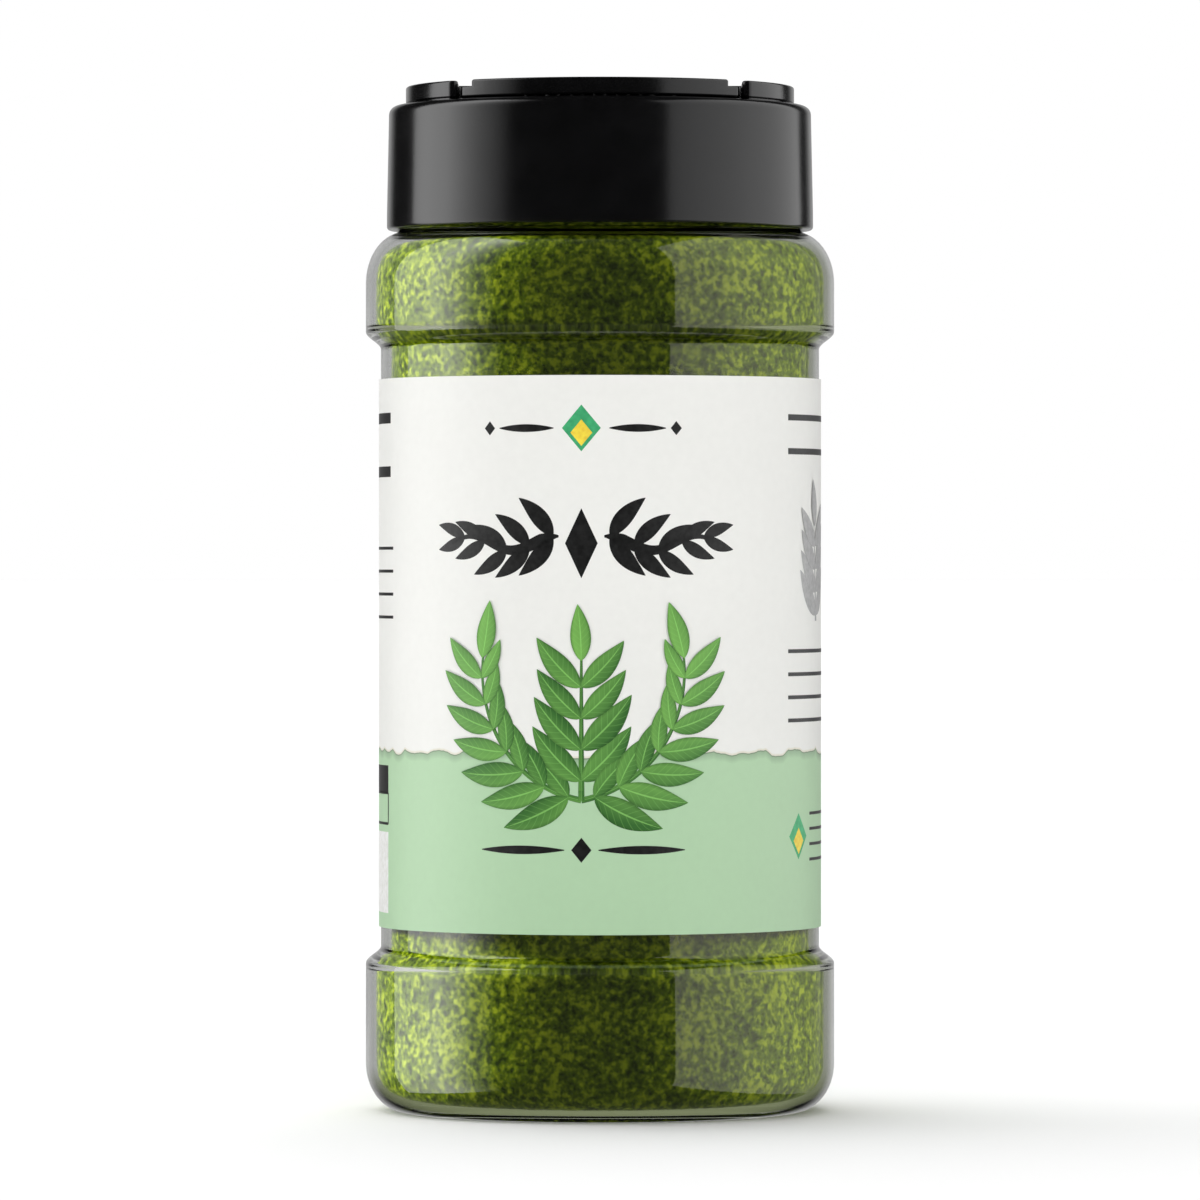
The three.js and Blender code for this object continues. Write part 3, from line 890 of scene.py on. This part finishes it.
def half_wreath(middle, reach):
    """Two leafy branches that rise from one point and curve up to the left and right, with an upright one
    between them."""
    upright = leaf_path(middle, 90, 0.72 * reach, 0, 64)
    strokes = leafy_branch(upright[4:], 0.36 * reach, 4, seed=8)
    strokes.append(stroke(upright[:5], 0.4 * MM, 0.1))
    for side in (-1, 1):
        branch = leaf_path(middle, 90 - side * 78, reach, side * 92, 64)
        strokes += leafy_branch(branch, 0.37 * reach, 7, inner=side, seed=21 + side)
    return strokes


def both_ways(middle, start, end, z, width):
    """Two tapered rules that mirror each other about the middle line."""
    return [
        rule((middle + side * start, z), (middle + side * end, z), width, taper=True)
        for side in (-1, 1)
    ]


def text_lines(left, right, top, gap, count, width):
    """A block of plain rules in place of small print."""
    return [rule((left, top - gap * step), (right, top - gap * step), width) for step in range(count)]


def build_print(colours):
    """The label's printed design: rules and lozenges, a bold flourish, leafy branches, and plain blocks at
    the sides."""
    middle, top_z, foot_z = PRINT_MIDDLE, PRINT_TOP_Z, PRINT_FOOT_Z
    black = both_ways(middle, 3.6 * MM, 11 * MM, top_z, 1.0 * MM)
    black += both_ways(middle, 2.2 * MM, 13.6 * MM, foot_z, 1.1 * MM)
    black += [lozenge((middle + side * 12.4 * MM, top_z), 1.5 * MM, 1.8 * MM) for side in (-1, 1)]
    black.append(lozenge((middle, foot_z), 2.6 * MM, 3.2 * MM))
    black += scroll_band((middle, FLOURISH_Z), FLOURISH_HALF, FLOURISH_HEIGHT)
    right, left = RIGHT_PANEL_X, LEFT_PANEL_X
    black += text_lines(right, right + 21 * MM, 91 * MM, 4.4 * MM, 2, 0.8 * MM)
    black += text_lines(right, right + 20 * MM, 60.6 * MM, 3.0 * MM, 4, 0.5 * MM)
    black += text_lines(right + 6.5 * MM, right + 20 * MM, 39.4 * MM, 2.0 * MM, 4, 0.4 * MM)
    black += text_lines(left, left + 20 * MM, 91 * MM, 7.0 * MM, 2, 1.4 * MM)
    black += text_lines(left, left + 21 * MM, 74 * MM, 3.0 * MM, 4, 0.4 * MM)
    black.append(panel((left + 8 * MM, 43.8 * MM), 22 * MM, 3.6 * MM))
    black += frame_lines((left + 8 * MM, 40 * MM), 22 * MM, 4 * MM, 0.35 * MM)
    print_piece("print_black", black, flat_ink("black ink", tuple(colours.ink)))
    wreath = half_wreath((middle, WREATH_ROOT_Z), WREATH_REACH)
    print_piece("print_leaves", wreath, printed_leaf(colours))
    badges = ((middle, top_z), (right + 2.8 * MM, SIDE_BADGE_Z))
    green = [lozenge(place, *BADGE) for place in badges]
    yellow = [lozenge((x, z - 0.6 * MM), *BADGE_HEART, layer=3) for x, z in badges]
    print_piece("print_green", green, flat_ink("green ink", tuple(colours.badge_green)))
    print_piece("print_yellow", yellow, flat_ink("yellow ink", tuple(colours.badge_yellow)))
    stem = leaf_path((right + 9.5 * MM, 64.5 * MM), 94, SPRIG_LENGTH, 0, 64)
    grey_leaves = leafy_branch(stem, 8.2 * MM, 4, seed=3)
    print_piece("print_grey", grey_leaves, flat_ink("grey ink", (0.36, 0.36, 0.36)))
    white = [panel((left + 9 * MM, 31.6 * MM), 20 * MM, 10.6 * MM)]
    print_piece("print_white", white, flat_ink("white ink", (0.80, 0.80, 0.76)))


# Cap and doors

def wing_outline(radius):
    """The raised top seen from above: two side wings inside a circle, joined by a straight bridge."""
    reach = math.acos(WING_INNER_X / radius)
    side = arc((0, 0), (radius, radius), -reach, reach, ARC_STEPS)
    right = np.vstack([side, [(WING_INNER_X, BRIDGE_HALF)]])
    left = -np.vstack([side, [(WING_INNER_X, BRIDGE_HALF)]])
    corners = np.vstack([right, [(-WING_INNER_X, BRIDGE_HALF)], left, [(WING_INNER_X, -BRIDGE_HALF)]])
    half = len(corners) // 2
    radii = np.zeros((2, half))
    radii[:, [0, ARC_STEPS]] = 0.7 * MM
    radii[:, [ARC_STEPS + 1, ARC_STEPS + 2]] = 0.35 * MM
    keep = np.ones((2, half), bool)
    keep[:, [1, 2, ARC_STEPS - 2, ARC_STEPS - 1]] = False
    keep = keep.ravel()
    return fillet(corners[keep], radii.ravel()[keep])


def door_outline(half, near, radius, corner=0.6 * MM):
    """A tongue: straight sides, a straight hinge edge on the +Y side of the bridge, and an arc."""
    start = math.acos(half / radius)
    rim = arc((0, 0), (radius, radius), start, math.pi - start, ARC_STEPS)
    corners = np.vstack([[(-half, near), (half, near)], rim[:1], rim[3:-3], rim[-1:]])
    radii = np.zeros(len(corners))
    radii[[0, 1, 2, len(corners) - 1]] = corner
    return fillet(corners, radii)


def pour_outline(inset):
    """The pour opening seen from above: a chord and an arc with round corners, drawn smaller by an inset."""
    half = POUR_HALF_X - inset
    near = POUR_NEAR_Y + inset
    radius = POUR_R - inset
    return door_outline(half, near, radius, POUR_CORNER - inset / 2)


def facing_front(shell):
    """The same shell turned half round the Z axis."""
    points, faces = shell
    return points * (-1, -1, 1), faces


def sift_places():
    """Centres of the sifting holes: rows at set distances, with each row's holes spread evenly about the
    middle."""
    return [
        ((index - (holes - 1) / 2) * SIFT_PITCH_X, y)
        for y, holes in SIFT_ROWS
        for index in range(holes)
    ]


def build_cap(sizes, material):
    """The turned shell with its inner thread, the raised top joined to it, and the holes cut through its
    deck."""
    edge = sizes.skirt_edge
    shoulder = SKIRT_TOP_R - LEDGE_R
    rows = sizes.thread_rows
    bore = line((CAP_BORE_R, DECK_UNDER_Z - 0.3 * MM), (CAP_BORE_R, SKIRT_Z + 2 * edge), rows)
    before = line((0, DECK_UNDER_Z), (CAP_BORE_R - 0.3 * MM, DECK_UNDER_Z), 6)
    after = np.vstack([
        arc((CAP_BORE_R + edge, SKIRT_Z + edge), (edge, edge), -math.pi, -RIGHT_ANGLE, 4),
        arc((SKIRT_R - edge, SKIRT_Z + edge), (edge, edge), -RIGHT_ANGLE, 0, 4),
        line((SKIRT_R, SKIRT_Z + 2 * MM), (SKIRT_TOP_R, LEDGE_Z - shoulder - 0.2 * MM), 8),
        arc((LEDGE_R, LEDGE_Z - shoulder), (shoulder, shoulder), 0, RIGHT_ANGLE, 10),
        [(DISH_R + 0.15 * MM, LEDGE_Z)],
        [(DISH_R, LEDGE_Z - 0.1 * MM)],
        [(DISH_R - 0.1 * MM, DECK_TOP_Z)],
        line((DISH_R - 1 * MM, DECK_TOP_Z), (0, DECK_TOP_Z), 6),
    ])
    ridge = thread_ridge(bore[:, 1], FINE, CAP_THREAD_Z, CAP_THREAD_TURNS)
    piece = mesh_object("screw_cap", [threaded_shell(before, bore, after, -ridge)])
    top = slab(wing_outline(PLATEAU_R), PLATEAU_Z, TOP_Z, STEP_EDGE, sizes.top_edge)
    stem = slab(wing_outline(GROOVE_R), DECK_TOP_Z - 0.6 * MM, PLATEAU_Z + 0.4 * MM)
    combine(piece, "UNION", [stem, top])
    below, above = DECK_UNDER_Z - MM, DECK_TOP_Z + MM
    flare = 0.25 * MM
    hole_r = [0, SIFT_HOLE_R, SIFT_HOLE_R, SIFT_HOLE_R + flare, SIFT_HOLE_R + flare, 0]
    hole_z = [below, below, DECK_TOP_Z - flare, DECK_TOP_Z, above, above]
    holes = [turned(hole_r, hole_z, 32, place) for place in sift_places()]
    pour = slab(pour_outline(0), below, above)
    combine(piece, "DIFFERENCE", [*holes, pour])
    return finish_piece(piece, "cap", material, ["cap_shell"])


def door_shell(name, sizes, turn):
    """A hollow tongue with a stepped edge: a wide tray under a narrower top plate, both with round edges."""
    wide = door_outline(DOOR_HALF, DOOR_NEAR_Y, PLATEAU_R)
    narrow = door_outline(DOOR_TOP_HALF, DOOR_NEAR_Y, PLATEAU_R)
    tray = slab(wide, PLATEAU_Z, DOOR_STEP_Z, STEP_EDGE, 0.15 * MM)
    top = slab(narrow, PLATEAU_Z + 0.5 * MM, TOP_Z, 0.0, sizes.top_edge)
    hollow = slab(
        door_outline(DOOR_HALF - DOOR_RIM, DOOR_NEAR_Y + DOOR_RIM, PLATEAU_R - DOOR_RIM),
        PLATEAU_Z - MM, TOP_Z - DOOR_PLATE, 0.0, 0.3 * MM,
    )
    piece = mesh_object(name, [turn(tray)])
    combine(piece, "UNION", [turn(top)])
    return combine(piece, "DIFFERENCE", [turn(hollow)])


def build_doors(sizes, material):
    """The front door carries a pin for each sifting hole, and the rear one a ring that plugs the pour
    opening."""
    inside_z = TOP_Z - DOOR_PLATE / 2
    tip = 0.3 * MM
    front = door_shell("flip_door_front", sizes, facing_front)
    pin_r = [0, SIFT_PIN_R - tip, SIFT_PIN_R - 0.3 * tip, SIFT_PIN_R, SIFT_PIN_R, 0]
    pin_z = [PLUG_END_Z, PLUG_END_Z, PLUG_END_Z + 0.3 * tip, PLUG_END_Z + tip, inside_z, inside_z]
    pins = [turned(pin_r, pin_z, 28, place) for place in sift_places()]
    combine(front, "UNION", pins)
    finish_piece(front, "front_door", material, ["door_front"])
    rear = door_shell("flip_door_rear", sizes, lambda shell: shell)
    plug = mesh_object("plug", [slab(pour_outline(PLUG_CLEARANCE), PLUG_END_Z, inside_z, tip)])
    core = slab(pour_outline(PLUG_CLEARANCE + PLUG_WALL), PLUG_END_Z - MM, TOP_Z - DOOR_PLATE)
    combine(plug, "DIFFERENCE", [core])
    ring = np.array([v.co for v in plug.data.vertices]), [list(p.vertices) for p in plug.data.polygons]
    bpy.data.objects.remove(plug)
    combine(rear, "UNION", [ring])
    return finish_piece(rear, "rear_door", material, ["door_rear"])


# Stage

def aim(lamp, place, target):
    """Puts a lamp at a place and points it at a target."""
    lamp.location = place
    direction = Vector(target) - Vector(place)
    lamp.rotation_euler = direction.to_track_quat("-Z", "Y").to_euler()


def panel_lamp(name, box, radiance, fade, jar, tint=(1.0, 1.0, 1.0)):
    """A tall softbox that only gloss sees, on the jar alone or on all but the jar. Its radiance changes
    across its width by a colour ramp that holds the tint times each share of the fade."""
    azimuth, width = box
    low_z, high_z = BOX_Z
    data = bpy.data.lights.new(name, "AREA")
    data.shape = "RECTANGLE"
    data.size = width
    data.size_y = high_z - low_z
    data.energy = 4 * width * (high_z - low_z) * radiance
    data.use_nodes = True
    tree = data.node_tree
    across = node(tree, "SeparateXYZ", {0: node(tree, "NewGeometry").outputs["Parametric"]})
    from_front = across.outputs[0] if azimuth > 0 else maths(tree, "SUBTRACT", 1.0, across.outputs[0])
    stops = [(position, tuple(share * c for c in tint)) for position, share in fade]
    tone = ramp(tree, from_front, stops)
    emission = next(n for n in tree.nodes if n.type == "EMISSION")
    tree.links.new(tone, emission.inputs["Color"])
    lamp = bpy.data.objects.new(name, data)
    bpy.context.scene.collection.objects.link(lamp)
    angle = math.radians(azimuth)
    middle = (low_z + high_z) / 2
    place = (BOX_DISTANCE * math.sin(angle), -BOX_DISTANCE * math.cos(angle), middle)
    aim(lamp, place, (0, 0, middle))
    lamp.visible_camera = False
    lamp.visible_diffuse = False
    lamp.visible_transmission = False
    lamp.light_linking.receiver_collection = light_group("jar", jar)


def light_group(kind, state):
    """A group for lamps that light only one kind of piece, or everything but that kind."""
    name = kind + " " + state.lower()
    return bpy.data.collections.get(name) or bpy.data.collections.new(name)


def join_light_groups(piece, kind):
    """Puts the piece in both groups of its kind, as the one that is lit and as the one that is left out."""
    for state in ("INCLUDE", "EXCLUDE"):
        group = light_group(kind, state)
        group.objects.link(piece)
        group.collection_objects[0].light_linking.link_state = state


def soft_sun(name, sun, share, powder, shadow=True):
    """A wide sun that only matt surfaces see. Share is what a white sheet facing it would show. It lights
    only the powder or leaves the powder out, and it may cast no shadow."""
    azimuth, elevation, spread = sun
    data = bpy.data.lights.new(name, "SUN")
    data.energy = share * math.pi
    data.angle = math.radians(spread)
    data.use_shadow = shadow
    lamp = bpy.data.objects.new(name, data)
    bpy.context.scene.collection.objects.link(lamp)
    a, e = math.radians(azimuth), math.radians(elevation)
    place = (math.sin(a) * math.cos(e), -math.cos(a) * math.cos(e), math.sin(e))
    aim(lamp, place, (0, 0, 0))
    lamp.visible_glossy = False
    lamp.visible_transmission = False
    lamp.visible_camera = False
    lamp.light_linking.receiver_collection = light_group("powder", powder)


def build_world(stage):
    """White where it is seen directly. As light it is dim, but for a bright strip behind the jar. What shows
    through clear edges is brighter all over the back, most on the left, and has the edge colour in front and
    below."""
    world = bpy.data.worlds.new("pale studio")
    bpy.context.scene.world = world
    world.use_nodes = True
    tree = world.node_tree
    tree.nodes.clear()
    path = node(tree, "LightPath")
    axes = node(tree, "SeparateXYZ", {0: node(tree, "TexCoord").outputs["Generated"]})
    share = maths(tree, "MULTIPLY_ADD", axes.outputs[1], 0.5, 0.5)
    right = maths(tree, "MAXIMUM", axes.outputs[0], 0.0)
    darker = maths(tree, "MULTIPLY_ADD", right, -0.4, share)
    left = maths(tree, "MULTIPLY_ADD", axes.outputs[0], -0.28, darker)
    dim, bright = (stage.front_light,) * 3, (stage.back_light,) * 3
    narrow = ramp(tree, share, [(0.93, dim), (0.975, bright)])
    wide = ramp(tree, left, [(0.35, tuple(stage.edge_colour)), (0.95, bright)])
    down = {0: axes.outputs[2], 1: 0.0, 2: -0.35}
    below = node(tree, "MapRange", down, interpolation_type="SMOOTHSTEP").outputs[0]
    edges = mixed(tree, below, wide, (*stage.edge_colour, 1))
    tone = mixed(tree, path.outputs["Is Transmission Ray"], narrow, edges)
    seen = node(tree, "Background", {"Color": grey(1.0), "Strength": 1.0})
    light = node(tree, "Background", {"Color": tone, "Strength": 1.0})
    surfaces = {0: path.outputs["Is Camera Ray"], 1: light.outputs[0], 2: seen.outputs[0]}
    both = node(tree, "MixShader", surfaces)
    node(tree, "OutputWorld", {"Surface": both.outputs[0]})


def build_floor():
    """A wide pale floor that gloss and clear edges don't see, so that the softboxes reach below it in
    reflections."""
    half = 30.0
    corners = [(-half, -half, 0), (half, -half, 0), (half, half, 0), (-half, half, 0)]
    mesh = bpy.data.meshes.new("floor")
    mesh.from_pydata(corners, [], [(0, 1, 2, 3)])
    floor = bpy.data.objects.new("floor", mesh)
    bpy.context.scene.collection.objects.link(floor)
    material, tree, shader, place = start_material("pale floor", Roughness=0.9, Specular_IOR_Level=0.0)
    cloud = noise(tree, place, 3, 2.0)
    tone = ramp(tree, cloud, [(0.3, (0.93,) * 3), (0.7, (0.95,) * 3)])
    tree.links.new(tone, shader.inputs["Base Color"])
    mesh.materials.append(material)
    floor.visible_glossy = False
    floor.visible_transmission = False
    floor.visible_shadow = False


def build_camera():
    """Level, at the photograph's distance and height, with a long lens and a small shift for its framing."""
    data = bpy.data.cameras.new("camera")
    data.sensor_width = 36.0
    data.lens = CAMERA_LENS
    data.shift_y = CAMERA_SHIFT
    camera = bpy.data.objects.new("camera", data)
    camera.location = (0.0, -CAMERA_DISTANCE, CAMERA_HEIGHT)
    camera.rotation_euler = (RIGHT_ANGLE, 0, 0)
    bpy.context.scene.collection.objects.link(camera)
    bpy.context.scene.camera = camera


# Settings a user would change

def length_property(name, description, default):
    """A length in metres."""
    return FloatProperty(name=name, description=description, default=default, unit="LENGTH")


def count_property(name, description, default, least):
    """A number of divisions."""
    return IntProperty(name=name, description=description, default=default, min=least)


def light_property(name, description, default):
    """A share of full light, or more."""
    return FloatProperty(name=name, description=description, default=default, min=0.0)


def colour_property(name, description, default):
    """A linear colour."""
    return FloatVectorProperty(
        name=name, description=description, default=default, subtype="COLOR", size=3, min=0.0, max=1.0,
    )


class SpiceJarSizes(bpy.types.PropertyGroup):
    """Sizes of the walls, relief and edges, and how finely some surfaces are divided."""
    wall: length_property("Jar wall", "Thickness of the blown side", 1.3 * MM)
    relief: length_property("Powder relief", "Depth between the powder's grains", 0.12 * MM)
    skirt_edge: length_property("Skirt edge", "Rounding of the cap's lower edge", 0.4 * MM)
    top_edge: length_property("Top edge", "Rounding of the raised top and the doors", 0.3 * MM)
    powder_columns: count_property("Powder columns", "Divisions of the powder round the jar", 520, 48)
    powder_rows: count_property("Powder rows", "Divisions of each visible band of powder", 66, 8)
    thread_rows: count_property("Thread rows", "Divisions of each threaded wall", 64, 12)


class SpiceJarColours(bpy.types.PropertyGroup):
    """Colours of the powder, paper, inks and plastics."""
    # Dark end of the powder's colour: dark grains, and painted shade in the hollows between them.
    powder_dark_and_hollow_shade: colour_property("Powder hollows", "Colour deep between the grains", (0.012, 0.022, 0.0005))
    powder_middle: colour_property("Powder", "Main colour of the powder", (0.068, 0.100, 0.002))
    powder_light: colour_property("Powder flecks", "Colour of the palest grains", (0.205, 0.245, 0.009))
    paper_white: colour_property("Paper", "Label above the torn edge", (0.90, 0.90, 0.865))
    paper_mint: colour_property("Mint", "Label below the torn edge", (0.46, 0.68, 0.43))
    leaf_dark: colour_property("Dark leaf", "Shaded green of the printed leaves", (0.035, 0.16, 0.022))
    leaf_light: colour_property("Light leaf", "Bright green of the printed leaves", (0.20, 0.50, 0.09))
    badge_green: colour_property("Green badge", "Green of the small lozenges", (0.035, 0.36, 0.14))
    badge_yellow: colour_property("Yellow badge", "Yellow inside the small lozenges", (0.86, 0.60, 0.04))
    ink: colour_property("Ink", "Black of the rules and flourish", (0.006, 0.006, 0.006))
    cap_black: colour_property("Cap", "Black of the cap's plastic", (0.002, 0.002, 0.0022))
    foam: colour_property("Liner", "Off-white of the sealing ring", (0.80, 0.78, 0.74))
    torn_edge_z: length_property("Torn edge height", "Height of the paper's torn edge", 48.0 * MM)


class SpiceJarStage(bpy.types.PropertyGroup):
    """Strength of the studio light."""
    front_light: light_property("Front", "Dim light from the room in front", 0.02)
    edge_colour: colour_property("Edges", "What clear edges show of the front", (0.21, 0.235, 0.13))
    back_light: light_property("Back", "Light from the pale wall behind", 0.55)
    left_box: light_property("Left softbox", "Radiance seen in gloss on the left", 2.3)
    right_box: light_property("Right softbox", "Radiance seen in gloss on the right", 1.3)
    jar_left_box: light_property("Left jar softbox", "Radiance seen by the jar alone on the left", 3.4)
    jar_right_box: light_property("Right jar softbox", "Radiance seen by the jar alone on the right", 1.35)
    key: light_property("Key", "Wide light from behind on the left", 1.0)
    left_fill: light_property("Left fill", "Wide light from the front left", 0.40)
    right_fill: light_property("Right fill", "Wide light from the front right", 0.32)
    powder_left: light_property("Powder left", "Side light on the powder", 5.4)
    powder_right: light_property("Powder right", "Side light on the powder", 2.3)
    powder_front: light_property("Powder front", "Front light on the powder", 0.20)


# Operators

class SPICEJAR_OT_stage(bpy.types.Operator):
    """Make the camera, floor, world and lamps"""
    bl_idname = "spicejar.stage"
    bl_label = "Stage"

    def execute(self, context):
        stage = context.scene.spice_jar_stage
        context.scene.view_settings.view_transform = "Standard"
        build_camera()
        build_floor()
        build_world(stage)
        panel_lamp("left softbox", LEFT_BOX, stage.left_box, LEFT_FADE, "EXCLUDE")
        panel_lamp("right softbox", RIGHT_BOX, stage.right_box, RIGHT_FADE, "EXCLUDE")
        panel_lamp("left jar softbox", LEFT_BOX, stage.jar_left_box, JAR_LEFT_FADE, "INCLUDE")
        panel_lamp("right jar softbox", RIGHT_BOX, stage.jar_right_box, JAR_RIGHT_FADE, "INCLUDE", WARM_TINT)
        soft_sun("key sun", KEY_SUN, stage.key, "EXCLUDE")
        soft_sun("left fill sun", LEFT_FILL_SUN, stage.left_fill, "EXCLUDE")
        soft_sun("right fill sun", RIGHT_FILL_SUN, stage.right_fill, "EXCLUDE")
        soft_sun("left powder sun", POWDER_LEFT_SUN, stage.powder_left, "INCLUDE")
        soft_sun("right powder sun", POWDER_RIGHT_SUN, stage.powder_right, "INCLUDE")
        soft_sun("front powder sun", POWDER_FRONT_SUN, stage.powder_front, "INCLUDE", shadow=False)
        return {"FINISHED"}


class SPICEJAR_OT_jar(bpy.types.Operator):
    """Make the clear jar with its neck thread"""
    bl_idname = "spicejar.jar"
    bl_label = "Jar"

    def execute(self, context):
        build_jar(context.scene.spice_jar_sizes)
        return {"FINISHED"}


class SPICEJAR_OT_powder(bpy.types.Operator):
    """Make the leaf powder inside the jar"""
    bl_idname = "spicejar.powder"
    bl_label = "Powder"

    def execute(self, context):
        build_powder(context.scene.spice_jar_sizes, context.scene.spice_jar_colours)
        return {"FINISHED"}


class SPICEJAR_OT_label(bpy.types.Operator):
    """Make the paper label and its print"""
    bl_idname = "spicejar.label"
    bl_label = "Label"

    def execute(self, context):
        build_label(context.scene.spice_jar_colours)
        build_print(context.scene.spice_jar_colours)
        return {"FINISHED"}


class SPICEJAR_OT_liner(bpy.types.Operator):
    """Make the sealing ring under the cap"""
    bl_idname = "spicejar.liner"
    bl_label = "Liner"

    def execute(self, context):
        build_liner(context.scene.spice_jar_colours)
        return {"FINISHED"}


class SPICEJAR_OT_cap(bpy.types.Operator):
    """Make the screw cap and its two flip doors"""
    bl_idname = "spicejar.cap"
    bl_label = "Cap and doors"

    def execute(self, context):
        material = black_plastic(context.scene.spice_jar_colours)
        build_cap(context.scene.spice_jar_sizes, material)
        build_doors(context.scene.spice_jar_sizes, material)
        return {"FINISHED"}


class SPICEJAR_PT_panel(bpy.types.Panel):
    """The jar's settings and the buttons that make its pieces"""
    bl_label = "Spice Jar"
    bl_idname = "SPICEJAR_PT_panel"
    bl_space_type = "VIEW_3D"
    bl_region_type = "UI"
    bl_category = "Spice Jar"

    def draw(self, context):
        scene = context.scene
        for group in (scene.spice_jar_sizes, scene.spice_jar_colours, scene.spice_jar_stage):
            box = self.layout.box()
            for name in group.__annotations__:
                box.prop(group, name)
        for operator in OPERATORS:
            self.layout.operator(operator.bl_idname)


OPERATORS = (
    SPICEJAR_OT_stage, SPICEJAR_OT_jar, SPICEJAR_OT_powder,
    SPICEJAR_OT_label, SPICEJAR_OT_liner, SPICEJAR_OT_cap,
)
GROUPS = (SpiceJarSizes, SpiceJarColours, SpiceJarStage)


def register():
    for cls in (*GROUPS, *OPERATORS, SPICEJAR_PT_panel):
        bpy.utils.register_class(cls)
    bpy.types.Scene.spice_jar_sizes = PointerProperty(type=SpiceJarSizes)
    bpy.types.Scene.spice_jar_colours = PointerProperty(type=SpiceJarColours)
    bpy.types.Scene.spice_jar_stage = PointerProperty(type=SpiceJarStage)


def unregister():
    del bpy.types.Scene.spice_jar_stage
    del bpy.types.Scene.spice_jar_colours
    del bpy.types.Scene.spice_jar_sizes
    for cls in reversed((*GROUPS, *OPERATORS, SPICEJAR_PT_panel)):
        bpy.utils.unregister_class(cls)


def main():
    """Makes the whole scene."""
    register()
    bpy.ops.spicejar.stage()
    bpy.ops.spicejar.jar()
    bpy.ops.spicejar.powder()
    bpy.ops.spicejar.label()
    bpy.ops.spicejar.liner()
    bpy.ops.spicejar.cap()


if __name__ == "__main__":
    main()
